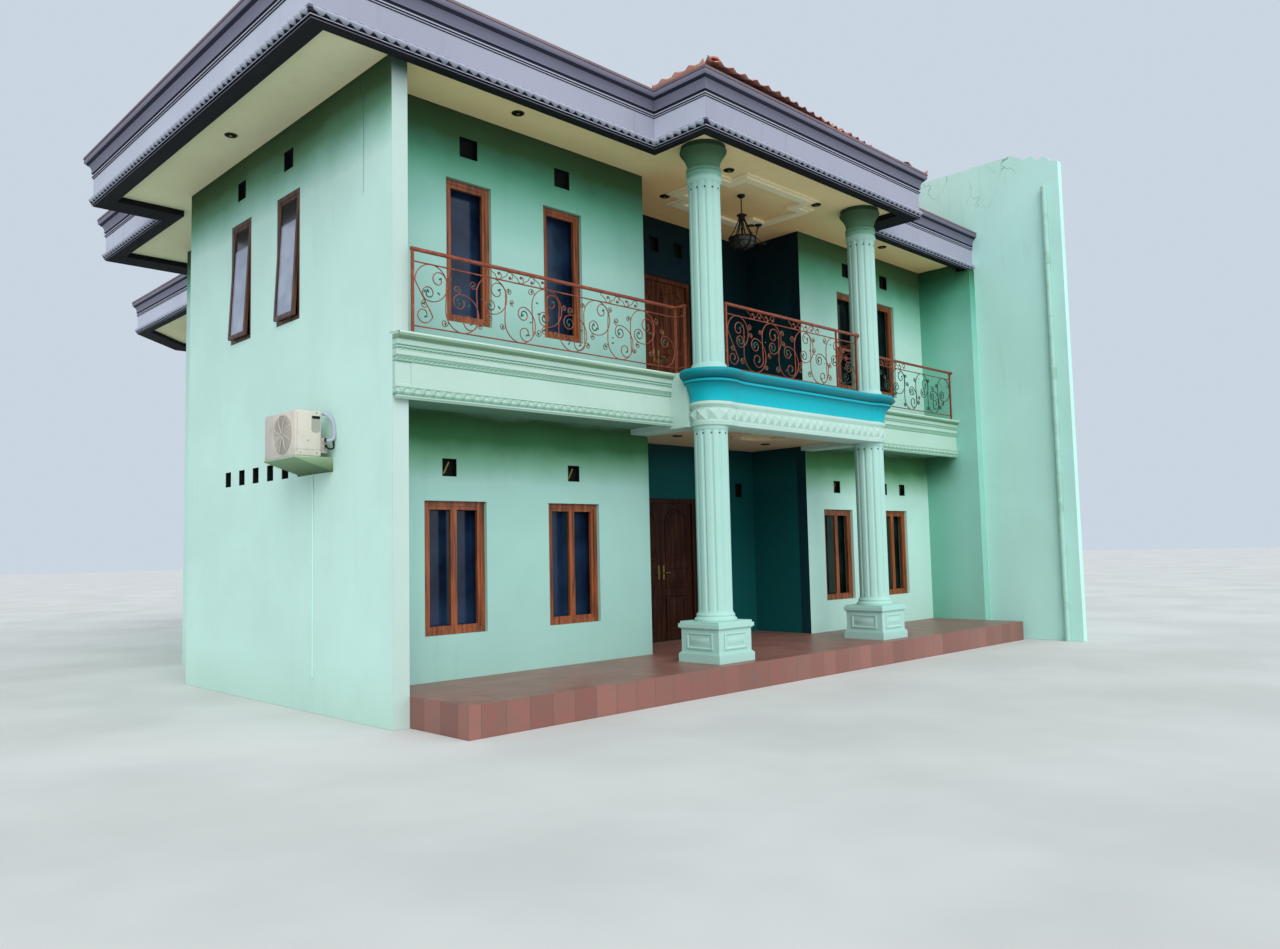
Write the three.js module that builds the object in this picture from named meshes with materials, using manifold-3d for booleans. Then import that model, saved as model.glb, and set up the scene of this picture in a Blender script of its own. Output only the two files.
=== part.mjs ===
// Two-storey house with a columned porch, balconies, wrought railings and a tiled hip roof.
// Units are millimetres, +Z is up, +Y runs from the street front to the rear.
import * as THREE from 'three';
import { mergeVertices } from 'three/addons/utils/BufferGeometryUtils.js';
import { ConvexGeometry } from 'three/addons/geometries/ConvexGeometry.js';
import Module from 'manifold-3d';

const wasm = await Module();
wasm.setup();

// Gap kept between neighbouring pieces
const GAP = 0.3;

// Levels above the street
const FLOOR_Z = 330;
const DECK_BOTTOM_Z = 3470;
const DECK_TOP_Z = 3830;
const CURB_TOP_Z = 4130;
const WALL_TOP_Z = 7190;
const CEILING_THICKNESS = 50;
const PARTY_TOP_Z = 9080;

// Plan of the walls (outer faces)
const WALL = 190;
const FRONT_Y = 730;
const RECESS_Y = 1880;
const RECESS_X0 = 4500;
const RECESS_X1 = 8260;
const RIGHT_X = 12290;
const RIGHT_WALL = 210;
const RIGHT_FIN_Y = -345;
const REAR_A_Y = 5730;
const REAR_B_X = 950;
const REAR_B_Y = 8550;
const REAR_C_X = 3250;
const REAR_C_Y = 15470;
const REAR_CHAMFER = 1070;
const PARTY_THICKNESS = 150;
const PARTY_FRONT_Y = -2050;
const TERRACE_FRONT_Y = -1060;

// Plan of the eaves (outer face of the plain fascia)
const EAVE_LEFT_X = -1070;
const EAVE_FRONT_Y = -320;
const PORCH_EAVE_Y = -1220;
const PORCH_EAVE_X0 = 3700;
const PORCH_EAVE_X1 = 8910;
const EAVE_REAR_A_Y = 6680;
const EAVE_REAR_B_X = -110;
const EAVE_REAR_B_Y = 9450;
const EAVE_REAR_C_X = 2180;
const EAVE_REAR_C_Y = 16400;
const EAVE_CHAMFER = 1300;
const EAVE_END_X = RIGHT_X + RIGHT_WALL - GAP;
const SOFFIT_BAND = 250;
const FASCIA_INNER = 40;
const CROWN_TOP_Z = 7750;
const ROOF_OVER = 115;
const ROOF_PITCH = Math.tan(THREE.MathUtils.degToRad(27));
const ROOF_SHEET = 90;
const ROOF_EDGE = 30;

// Columns
const COLUMN_Y = -530;
const COLUMN_X = [4420, 8220];
const UPPER_RADIUS = 213;
const LOWER_RADIUS = 224;
const FLUTES = 12;
const FLUTE_DEPTH = 12;
const PEDESTAL_TOP_Z = 850;
const PEDESTAL_WIDTH = 640;
const BEAM_BOTTOM_Z = 3390;
const BELT_BOTTOM_Z = 3710;
const BELT_TOP_Z = 4130;
const SIDE_BEAM = 335;
const BEAM_BACK_Y = -350;
const CURB_BACK_Y = 60;
const RIGHT_BALCONY_Y = 140;
const PORCH_SIDE_X0 = 4165;
const PORCH_SIDE_X1 = 8475;
const RING_RADIUS = 262;
const RUN_REACH = 245;
const RUN_FLARE = 0.536;

// Windows, doors and vents
const WINDOW_W = 660;
const WINDOW_Z0 = 4565;
const WINDOW_Z1 = 6330;
const UPPER_WINDOW_X = [1488, 2983, 9700, 10950];
const SIDE_WINDOW_Y = [2485, 3905];
const SIDE_WINDOW_W = 640;
const SIDE_WINDOW_Z0 = 4680;
const SIDE_WINDOW_Z1 = 6320;
const SIDE_SET_BACK = 6;
const LOW_WINDOW_W = 870;
const LOW_WINDOW_Z0 = 850;
const LOW_WINDOW_Z1 = 2410;
const LOW_WINDOW_X = [1270, 3105, 9180, 11020];
const REAR_WINDOW_X = 8000;
const FRAME_BAR = 58;
const FRAME_DEPTH = 90;
const SASH_BAR = 48;
const SASH_DEPTH = 40;
const FRAME_SET_BACK = 50;
const SASH_OPEN_ANGLE = THREE.MathUtils.degToRad(3);
const GLASS = 6;
const DOOR_X0 = 5150;
const DOOR_X1 = 6750;
const UPPER_DOOR_TOP_Z = 6230;
const LOWER_DOOR_TOP_Z = 2600;
const VENT_W = 265;
const VENT_Z0 = 6630;
const VENT_Z1 = 6885;
const VENT_DEPTH = 80;
const LOW_VENT_Z0 = 2700;
const LOW_VENT_Z1 = 2910;
const SMALL_VENT_Y = [2105, 2540, 2965, 3395, 3828, 4272];
const SMALL_VENT_W = 190;
const SMALL_VENT_Z0 = 2750;
const SMALL_VENT_Z1 = 2950;

// Air-conditioner on the left wall, and lamp under the porch ceiling
const AC_Y0 = 1300;
const AC_Y1 = 2100;
const LAMP_X = 6190;
const LAMP_Y = 270;

// Plaster band round the middle of the porch ceiling
const BAND_X0 = 5250;
const BAND_X1 = 7600;
const BAND_Y0 = -380;
const BAND_Y1 = 1270;
const BAND_NOTCH = 300;

// Railings: heights above the curb, and plan positions of the posts
const RAIL_TOP = 940;
const RAIL_SECOND = 790;
const RAIL_BOTTOM = 90;
const PORCH_RAIL_RISE = 50;
const RAIL_Y = -70;
const RAIL_RETURN_Y = -245;
const RIGHT_RAIL_Y = 70;
const RAIL_X = [200, 4280, 8360, 12115];
const PORCH_RAIL_X = [4770, 7930];
const PORCH_RAIL_Y = -550;
const POST = 40;
const BAR = 16;
const BAR_PITCH = 165;

// The origin is the middle of the whole plan, at street level
const CROWN_OUT = 108;
const CENTRE_X = (EAVE_LEFT_X - CROWN_OUT + RIGHT_X + RIGHT_WALL + GAP + PARTY_THICKNESS) / 2;
const CENTRE_Y = (PARTY_FRONT_Y + EAVE_REAR_C_Y + CROWN_OUT) / 2;

const house = new THREE.Group();
house.position.set(-CENTRE_X, -CENTRE_Y, 0);

function material(colour, roughness, metalness = 0) {
  return new THREE.MeshStandardMaterial({ color: colour, roughness, metalness });
}

function put(name, geometry, mat) {
  const mesh = new THREE.Mesh(geometry, mat);
  mesh.name = name;
  house.add(mesh);
  return mesh;
}

function box(x0, x1, y0, y1, z0, z1) {
  const geometry = new THREE.BoxGeometry(x1 - x0, y1 - y0, z1 - z0);
  geometry.translate((x0 + x1) / 2, (y0 + y1) / 2, (z0 + z1) / 2);
  return geometry;
}

// Turns a closed geometry into a solid that can be cut and joined
function solid(geometry) {
  const clean = geometry.clone();
  for (const key of Object.keys(clean.attributes)) {
    if (key !== 'position') clean.deleteAttribute(key);
  }
  const merged = mergeVertices(clean, 1e-3);
  return new wasm.Manifold(new wasm.Mesh({
    numProp: 3,
    vertProperties: new Float32Array(merged.attributes.position.array),
    triVerts: new Uint32Array(merged.index.array),
  }));
}

function toGeometry(body) {
  const mesh = body.getMesh();
  const geometry = new THREE.BufferGeometry();
  geometry.setAttribute('position', new THREE.BufferAttribute(new Float32Array(mesh.vertProperties), 3));
  geometry.setIndex(new THREE.BufferAttribute(new Uint32Array(mesh.triVerts), 1));
  geometry.computeVertexNormals();
  return geometry;
}

function join(geometries) {
  let body = solid(geometries[0]);
  for (const geometry of geometries.slice(1)) body = body.add(solid(geometry));
  return body;
}

function cut(body, geometries) {
  for (const geometry of geometries) body = body.subtract(solid(geometry));
  return body;
}

function polygon(points, z0, z1) {
  const shape = new THREE.Shape(points.map(([x, y]) => new THREE.Vector2(x, y)));
  const geometry = new THREE.ExtrudeGeometry(shape, { depth: z1 - z0, bevelEnabled: false });
  geometry.translate(0, 0, z0);
  return geometry;
}

function lathe(profile, x, y, segments) {
  const geometry = new THREE.LatheGeometry(profile.map(([r, z]) => new THREE.Vector2(r, z)), segments);
  geometry.rotateX(Math.PI / 2);
  geometry.translate(x, y, 0);
  return geometry;
}

// Mitred sweep of a closed profile (outward offset, height) along a plan path, outward on its left
function sweep(profile, path) {
  const points = profile.map(([o, z]) => new THREE.Vector2(o, z));
  const left = path.slice(1).map(([x, y], i) => {
    const run = new THREE.Vector2(x - path[i][0], y - path[i][1]).normalize();
    return new THREE.Vector2(-run.y, run.x);
  });
  const vertices = [];
  path.forEach(([x, y], i) => {
    const a = left[Math.max(i - 1, 0)];
    const b = left[Math.min(i, left.length - 1)];
    const mitre = a.clone().add(b).divideScalar(1 + a.dot(b));
    for (const p of points) vertices.push(x + mitre.x * p.x, y + mitre.y * p.x, p.y);
  });
  const n = points.length;
  const index = [];
  for (let i = 0; i < path.length - 1; i += 1) {
    for (let j = 0; j < n; j += 1) {
      const a = i * n + j;
      const b = i * n + ((j + 1) % n);
      index.push(a, a + n, b, b, a + n, b + n);
    }
  }
  const last = (path.length - 1) * n;
  for (const [a, b, c] of THREE.ShapeUtils.triangulateShape(points, [])) {
    index.push(a, b, c, last + a, last + c, last + b);
  }
  const geometry = new THREE.BufferGeometry();
  geometry.setAttribute('position', new THREE.Float32BufferAttribute(vertices, 3));
  geometry.setIndex(index);
  const body = solid(geometry);
  if (body.volume() > 0) return geometry;
  geometry.setIndex(index.map((v, k) => index[k - (k % 3) + [0, 2, 1][k % 3]]));
  return geometry;
}

// Colours of the house
const mint = () => material(0xa5d5c4, 0.85);
const teal = () => material(0x1f6a60, 0.85);
const turquoise = () => material(0x00aabe, 0.5);
const fasciaGrey = () => material(0xb2b4c3, 0.75);
const cream = () => material(0xb9b490, 0.9);
const timber = () => material(0x5c3322, 0.5);
const ironwork = () => material(0x7a4632, 0.55, 0.6);
const darkGlass = () => material(0x1b2630, 0.1);
const clay = () => material(0xb4593c, 0.85);
const floorTile = () => material(0x8d4a3c, 0.6);
const concrete = () => material(0x9a9a94, 0.9);

// Openings in the walls, as boxes that cut a wall facing -Y
function holeX(y, w, z0, z1, depth) {
  return box(-10, depth, y - w / 2, y + w / 2, z0, z1);
}

function holeY(x, w, z0, z1, y0, depth) {
  return box(x - w / 2, x + w / 2, y0 - 10, y0 + depth, z0, z1);
}

function frontCuts(upper, lower, upperVents, lowVents) {
  return [
    ...upper.map((x) => holeY(x, WINDOW_W, WINDOW_Z0, WINDOW_Z1, FRONT_Y, WALL + 10)),
    ...lower.map((x) => holeY(x, LOW_WINDOW_W, LOW_WINDOW_Z0, LOW_WINDOW_Z1, FRONT_Y, WALL + 10)),
    ...upperVents.map((x) => holeY(x, VENT_W, VENT_Z0, VENT_Z1, FRONT_Y, VENT_DEPTH)),
    ...lowVents.map((x) => holeY(x, 200, LOW_VENT_Z0, LOW_VENT_Z1, FRONT_Y, VENT_DEPTH)),
  ];
}

// Left side wall with its thin front fin
{
  const cuts = [
    ...SIDE_WINDOW_Y.map((y) => holeX(y, SIDE_WINDOW_W, SIDE_WINDOW_Z0, SIDE_WINDOW_Z1, WALL + 10)),
    ...SIDE_WINDOW_Y.map((y) => holeX(y, VENT_W, VENT_Z0, VENT_Z1, VENT_DEPTH)),
    ...SMALL_VENT_Y.map((y) => holeX(y, SMALL_VENT_W, SMALL_VENT_Z0, SMALL_VENT_Z1, VENT_DEPTH)),
  ];
  const wall = solid(box(0, WALL, 0, REAR_A_Y, 0, WALL_TOP_Z - GAP));
  put('left_wall', toGeometry(cut(wall, cuts)), mint());
}

// Front walls either side of the recess
{
  const left = solid(box(WALL + GAP, RECESS_X0, FRONT_Y, FRONT_Y + WALL, 0, WALL_TOP_Z - GAP));
  const leftCuts = frontCuts(UPPER_WINDOW_X.slice(0, 2), LOW_WINDOW_X.slice(0, 2),
    UPPER_WINDOW_X.slice(0, 2), [1180, 3105]);
  put('front_wall_left', toGeometry(cut(left, leftCuts)), mint());
  const right = solid(box(RECESS_X1, RIGHT_X - GAP, FRONT_Y, FRONT_Y + WALL, 0, WALL_TOP_Z - GAP));
  const rightCuts = frontCuts(UPPER_WINDOW_X.slice(2), LOW_WINDOW_X.slice(2),
    UPPER_WINDOW_X.slice(2), [9160, 10690, 11320]);
  put('front_wall_right', toGeometry(cut(right, rightCuts)), mint());
}

// Recess behind the porch, a U of walls with a double door on each floor
{
  const x0 = RECESS_X0 - WALL;
  const x1 = RECESS_X1 + WALL;
  const y0 = FRONT_Y + WALL + GAP;
  const y1 = RECESS_Y + WALL;
  const u = [[x0, y0], [RECESS_X0, y0], [RECESS_X0, RECESS_Y], [RECESS_X1, RECESS_Y],
    [RECESS_X1, y0], [x1, y0], [x1, y1], [x0, y1]];
  const centre = (DOOR_X0 + DOOR_X1) / 2;
  const width = DOOR_X1 - DOOR_X0;
  const cuts = [
    holeY(centre, width, DECK_TOP_Z, UPPER_DOOR_TOP_Z, RECESS_Y, WALL + 10),
    holeY(centre, width, FLOOR_Z, LOWER_DOOR_TOP_Z, RECESS_Y, WALL + 10),
    ...[5900, 6460].map((x) => holeY(x, 200, VENT_Z0, VENT_Z1 - 10, RECESS_Y, VENT_DEPTH)),
    holeY(7860, 180, LOW_VENT_Z0 - 40, LOW_VENT_Z1 - 10, RECESS_Y, VENT_DEPTH),
  ];
  put('recess_walls', toGeometry(cut(solid(polygon(u, 0, WALL_TOP_Z - GAP)), cuts)), teal());
}

// Right side wall, and the taller boundary wall behind it
{
  const wall = solid(box(RIGHT_X, RIGHT_X + RIGHT_WALL, RIGHT_FIN_Y, REAR_C_Y, 0, WALL_TOP_Z - GAP));
  const underEave = box(RIGHT_X - 10, RIGHT_X + RIGHT_WALL + 10, RIGHT_FIN_Y - 10,
    EAVE_FRONT_Y + SOFFIT_BAND + GAP, 7035, WALL_TOP_Z);
  put('right_wall', toGeometry(cut(wall, [underEave])), mint());
}
{
  const x0 = RIGHT_X + RIGHT_WALL + GAP;
  const broken = [[PARTY_FRONT_Y, 0], [REAR_C_Y, 0], [REAR_C_Y, PARTY_TOP_Z], [-1190, PARTY_TOP_Z],
    [-1300, 9010], [-1430, 8930], [-1560, 8960], [-1680, 8850], [-1820, 8880], [-1930, 8760],
    [PARTY_FRONT_Y, 8730]];
  const geometry = polygon(broken, 0, PARTY_THICKNESS);
  geometry.applyMatrix4(new THREE.Matrix4().makeBasis(
    new THREE.Vector3(0, 1, 0), new THREE.Vector3(0, 0, 1), new THREE.Vector3(1, 0, 0)));
  geometry.translate(x0, 0, 0);
  put('party_wall', geometry, mint());
}

// Rear walls, stepped in twice on the left and cut off at the far corner
const REAR_PATH = [
  [WALL + GAP, REAR_A_Y], [REAR_B_X, REAR_A_Y], [REAR_B_X, REAR_B_Y], [REAR_C_X, REAR_B_Y],
  [REAR_C_X, REAR_C_Y - REAR_CHAMFER], [REAR_C_X + REAR_CHAMFER, REAR_C_Y], [RIGHT_X - GAP, REAR_C_Y],
];
{
  const profile = [[-WALL, 0], [0, 0], [0, WALL_TOP_Z - GAP], [-WALL, WALL_TOP_Z - GAP]];
  const cuts = [
    box(REAR_WINDOW_X - WINDOW_W / 2, REAR_WINDOW_X + WINDOW_W / 2, REAR_C_Y - WALL - 10, REAR_C_Y + 10,
      WINDOW_Z0, WINDOW_Z1),
    box(REAR_WINDOW_X - LOW_WINDOW_W / 2, REAR_WINDOW_X + LOW_WINDOW_W / 2,
      REAR_C_Y - WALL - 10, REAR_C_Y + 10, LOW_WINDOW_Z0, LOW_WINDOW_Z1),
  ];
  put('rear_walls', toGeometry(cut(solid(sweep(profile, REAR_PATH)), cuts)), mint());
}

// Floors
const INSIDE = [
  [WALL + GAP, FRONT_Y + WALL + GAP], [RECESS_X0 - WALL - GAP, FRONT_Y + WALL + GAP],
  [RECESS_X0 - WALL - GAP, RECESS_Y + WALL + GAP], [RECESS_X1 + WALL + GAP, RECESS_Y + WALL + GAP],
  [RECESS_X1 + WALL + GAP, FRONT_Y + WALL + GAP], [RIGHT_X - GAP, FRONT_Y + WALL + GAP],
  [RIGHT_X - GAP, REAR_C_Y - WALL - GAP], [REAR_C_X + REAR_CHAMFER + 80, REAR_C_Y - WALL - GAP],
  [REAR_C_X + WALL + GAP, REAR_C_Y - REAR_CHAMFER - 80], [REAR_C_X + WALL + GAP, REAR_B_Y - WALL - GAP],
  [REAR_B_X + WALL + GAP, REAR_B_Y - WALL - GAP], [REAR_B_X + WALL + GAP, REAR_A_Y - WALL - GAP],
  [WALL + GAP, REAR_A_Y - WALL - GAP],
];
put('ground_floor', polygon(INSIDE, 0, FLOOR_Z), floorTile());
put('first_floor', polygon(INSIDE, DECK_BOTTOM_Z, DECK_TOP_Z), concrete());
{
  const terrace = [
    [WALL + GAP, TERRACE_FRONT_Y], [RIGHT_X - GAP, TERRACE_FRONT_Y], [RIGHT_X - GAP, FRONT_Y - GAP],
    [RECESS_X1 - GAP, FRONT_Y - GAP], [RECESS_X1 - GAP, RECESS_Y - GAP], [RECESS_X0 + GAP, RECESS_Y - GAP],
    [RECESS_X0 + GAP, FRONT_Y - GAP], [WALL + GAP, FRONT_Y - GAP],
  ];
  put('terrace', polygon(terrace, 0, FLOOR_Z), floorTile());
  const inner0 = PORCH_SIDE_X0 + SIDE_BEAM + GAP;
  const inner1 = PORCH_SIDE_X1 - SIDE_BEAM - GAP;
  const deck = [
    [inner0, BEAM_BACK_Y + GAP], [inner1, BEAM_BACK_Y + GAP], [inner1, FRONT_Y - GAP],
    [RECESS_X1 - GAP, FRONT_Y - GAP], [RECESS_X1 - GAP, RECESS_Y - GAP], [RECESS_X0 + GAP, RECESS_Y - GAP],
    [RECESS_X0 + GAP, FRONT_Y - GAP], [inner0, FRONT_Y - GAP],
  ];
  put('porch_deck', polygon(deck, DECK_BOTTOM_Z, DECK_TOP_Z), cream());
}

// Balcony edges with a stepped crown, a plain band and a lower moulding
const BALCONY_EDGE = [
  [-150, 3470], [40, 3470], [40, 3425], [60, 3425], [85, 3445], [85, 3545], [60, 3560], [60, 3580],
  [50, 3590], [50, 3815], [66, 3825], [66, 3880], [80, 3890], [80, 3990], [92, 4005], [104, 4055], [128, 4075],
  [140, 4085], [140, CURB_TOP_Z], [-60, CURB_TOP_Z], [-60, DECK_TOP_Z], [-150, DECK_TOP_Z],
];
function balcony(name, x0, x1, slab0, y) {
  const edge = sweep(BALCONY_EDGE, [[x1, y], [x0, y]]);
  const slab = box(slab0, x1, y - 60, FRONT_Y - GAP, DECK_BOTTOM_Z, DECK_TOP_Z);
  return [name, join([edge, slab]).subtract(solid(box(-100, WALL + GAP, -GAP, 900, 3000, 4500)))];
}
for (const [name, body] of [
  balcony('balcony_left', 0, PORCH_SIDE_X0 - GAP, WALL + GAP, 0),
  balcony('balcony_right', PORCH_SIDE_X1 + GAP, RIGHT_X - GAP, PORCH_SIDE_X1 + GAP, RIGHT_BALCONY_Y),
]) {
  put(name, toGeometry(body), mint());
}

// Porch beam and belt: rings round the columns joined by a straight run along the front
const BELT = [[262, 3710], [264, 3770], [279, 3840], [307, 3900], [348, 3945], [372, 3962], [372, 3990],
  [400, 4005], [418, 4030], [428, 4065], [424, 4100], [408, 4122], [386, 4130]];
const BEAM = [[256, 3390], [262, 3405], [262, 3425], [246, 3435], [246, 3630], [258, 3640], [268, 3660],
  [268, 3685], [260, 3710 - GAP]];
function rings(profile, z0, z1) {
  return COLUMN_X.map((x) => lathe([[0, z0], ...profile, [0, z1]], x, COLUMN_Y, 28));
}
function porchFront(profile, z0, z1) {
  const outer = profile.map(([r, z]) => [RUN_REACH + (r - RING_RADIUS) * RUN_FLARE, z]);
  const run = sweep([[-60, z0], ...outer, [-60, z1]], [[COLUMN_X[1], COLUMN_Y], [COLUMN_X[0], COLUMN_Y]]);
  const core = box(COLUMN_X[0], COLUMN_X[1], COLUMN_Y - 40, BEAM_BACK_Y, z0, z1);
  const inside0 = PORCH_SIDE_X0 + SIDE_BEAM;
  const inside1 = PORCH_SIDE_X1 - SIDE_BEAM;
  const inside = box(inside0, inside1, BEAM_BACK_Y, 2000, z0 - 10, z1 + 10);
  return join([core, run, ...rings(profile, z0, z1)]).subtract(solid(inside));
}
function sideBeams(y0, y1, z0, z1, margin = 0) {
  return [
    box(PORCH_SIDE_X0 - margin, PORCH_SIDE_X0 + SIDE_BEAM, y0, y1, z0, z1),
    box(PORCH_SIDE_X1 - SIDE_BEAM, PORCH_SIDE_X1 + margin, y0, y1, z0, z1),
  ];
}
{
  const belt = porchFront(BELT, BELT_BOTTOM_Z, BELT_TOP_Z);
  const behind = sideBeams(BEAM_BACK_Y, 900, BELT_BOTTOM_Z - 10, BELT_TOP_Z + 10, GAP);
  put('porch_belt', toGeometry(cut(belt, behind)), turquoise());
  const top = BELT_BOTTOM_Z - GAP;
  const low = porchFront(BEAM, BEAM_BOTTOM_Z, top);
  const sides = join([
    ...sideBeams(COLUMN_Y, FRONT_Y - GAP, BEAM_BOTTOM_Z, top),
    ...sideBeams(BEAM_BACK_Y + GAP, FRONT_Y - GAP, top - 1, DECK_TOP_Z),
    ...sideBeams(BEAM_BACK_Y + GAP, CURB_BACK_Y, top - 1, BELT_TOP_Z),
    box(PORCH_SIDE_X1 - SIDE_BEAM, PORCH_SIDE_X1, 0, RIGHT_BALCONY_Y + CURB_BACK_Y, top, BELT_TOP_Z),
  ]);
  put('porch_beam', toGeometry(low.add(sides)), mint());
}

// Columns: fluted shafts with turned rings and bells
function shaft(x, radius, z0, z1) {
  const points = [];
  for (let i = 0; i < FLUTES; i += 1) {
    [0, 0.2, 0.4, 0.7].forEach((t, k) => {
      const a = ((i + t) / FLUTES) * Math.PI * 2;
      const r = k === 1 ? radius - FLUTE_DEPTH : radius;
      points.push([x + r * Math.cos(a), COLUMN_Y + r * Math.sin(a)]);
    });
  }
  return polygon(points, z0, z1);
}
const UPPER_CAPITAL = [
  [0, 6680], [220, 6680], [236, 6692], [240, 6718], [234, 6745], [226, 6752], [226, 6785],
  [238, 6795], [238, 6818], [230, 6828], [230, 6838], [238, 6848], [238, 6868], [222, 6882],
  [222, 6930], [234, 6965], [258, 7020], [292, 7080], [318, 7112], [318, 7135], [300, 7142],
  [300, WALL_TOP_Z - GAP], [0, WALL_TOP_Z - GAP],
];
const UPPER_BASE = [
  [0, 4130 + GAP], [248, 4130 + GAP], [252, 4165], [236, 4195], [228, 4220], [0, 4220],
];
const LOWER_CAPITAL = [
  [0, 3330], [228, 3330], [236, 3345], [240, BEAM_BOTTOM_Z - GAP], [0, BEAM_BOTTOM_Z - GAP],
];
const LOWER_BASE = [[0, PEDESTAL_TOP_Z - 10], [270, PEDESTAL_TOP_Z - 10], [276, 885], [250, 915], [250, 935],
  [232, 960], [0, 960]];
COLUMN_X.forEach((x, i) => {
  const side = ['left', 'right'][i];
  const upper = join([shaft(x, UPPER_RADIUS, 4180, 6720), lathe(UPPER_CAPITAL, x, COLUMN_Y, 24),
    lathe(UPPER_BASE, x, COLUMN_Y, 24)]);
  put(`upper_column_${side}`, toGeometry(upper), mint());
  const h = PEDESTAL_WIDTH / 2;
  const lower = join([
    shaft(x, LOWER_RADIUS, 920, 3360),
    lathe(LOWER_CAPITAL, x, COLUMN_Y, 24),
    lathe(LOWER_BASE, x, COLUMN_Y, 24),
    box(x - h, x + h, COLUMN_Y - h, COLUMN_Y + h, FLOOR_Z + GAP, PEDESTAL_TOP_Z),
    box(x - h - 30, x + h + 30, COLUMN_Y - h - 30, COLUMN_Y + h + 30, 770, 820),
    box(x - h - 30, x + h + 30, COLUMN_Y - h - 30, COLUMN_Y + h + 30, FLOOR_Z + GAP, 440),
  ]);
  put(`lower_column_${side}`, toGeometry(lower), mint());
});

// Eaves: one mitred profile of soffit band, drip, plain fascia and stepped crown
const EAVE_PATH = [
  [EAVE_END_X, EAVE_FRONT_Y], [PORCH_EAVE_X1, EAVE_FRONT_Y], [PORCH_EAVE_X1, PORCH_EAVE_Y],
  [PORCH_EAVE_X0, PORCH_EAVE_Y], [PORCH_EAVE_X0, EAVE_FRONT_Y], [EAVE_LEFT_X, EAVE_FRONT_Y],
  [EAVE_LEFT_X, EAVE_REAR_A_Y], [EAVE_REAR_B_X, EAVE_REAR_A_Y], [EAVE_REAR_B_X, EAVE_REAR_B_Y],
  [EAVE_REAR_C_X, EAVE_REAR_B_Y], [EAVE_REAR_C_X, EAVE_REAR_C_Y - EAVE_CHAMFER],
  [EAVE_REAR_C_X + EAVE_CHAMFER, EAVE_REAR_C_Y], [EAVE_END_X, EAVE_REAR_C_Y],
];
const EAVE_PROFILE = [
  [-SOFFIT_BAND, 7100], [4, 7036], [4, 7058], [22, 7062], [22, 7084], [40, 7090], [40, 7112],
  [62, 7120], [62, 7150],
  [0, 7190], [0, 7450], [12, 7454], [12, 7470], [24, 7474], [24, 7500], [10, 7508], [10, 7526], [30, 7532],
  [30, 7556], [24, 7562], [28, 7590], [38, 7622], [56, 7648], [80, 7664], [80, 7676], [98, 7684],
  [CROWN_OUT, 7706], [CROWN_OUT, CROWN_TOP_Z], [-90, CROWN_TOP_Z], [-90, 7640], [-FASCIA_INNER, 7600],
  [-FASCIA_INNER, WALL_TOP_Z - GAP], [-SOFFIT_BAND, WALL_TOP_Z - GAP],
];

// Moves a plan path sideways with mitred corners
function offsetPath(path, offset) {
  const p = sweep([[offset, 0], [offset + 1, 0], [offset + 1, 1]], path).attributes.position;
  return path.map((_, i) => [p.getX(i * 3), p.getY(i * 3)]);
}
put('eave_fascia', sweep(EAVE_PROFILE, EAVE_PATH), fasciaGrey());
const ceilingLine = offsetPath(EAVE_PATH, -FASCIA_INNER - GAP);
put('ceiling', polygon(ceilingLine, WALL_TOP_Z, WALL_TOP_Z + CEILING_THICKNESS), cream());

// Stepped plaster band with notched corners on the porch ceiling
function notched(inset) {
  const [x0, x1] = [BAND_X0 + inset, BAND_X1 - inset];
  const [y0, y1] = [BAND_Y0 + inset, BAND_Y1 - inset];
  const n = BAND_NOTCH;
  return [
    [x0 + n, y0], [x1 - n, y0], [x1 - n, y0 + n], [x1, y0 + n], [x1, y1 - n], [x1 - n, y1 - n],
    [x1 - n, y1], [x0 + n, y1], [x0 + n, y1 - n], [x0, y1 - n], [x0, y0 + n], [x0 + n, y0 + n],
  ];
}
{
  const top = WALL_TOP_Z - GAP;
  const band = join([polygon(notched(0), top - 25, top), polygon(notched(60), top - 45, top)]);
  put('porch_ceiling_ring', toGeometry(cut(band, [polygon(notched(190), top - 90, top + 10)])), cream());
}

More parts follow.
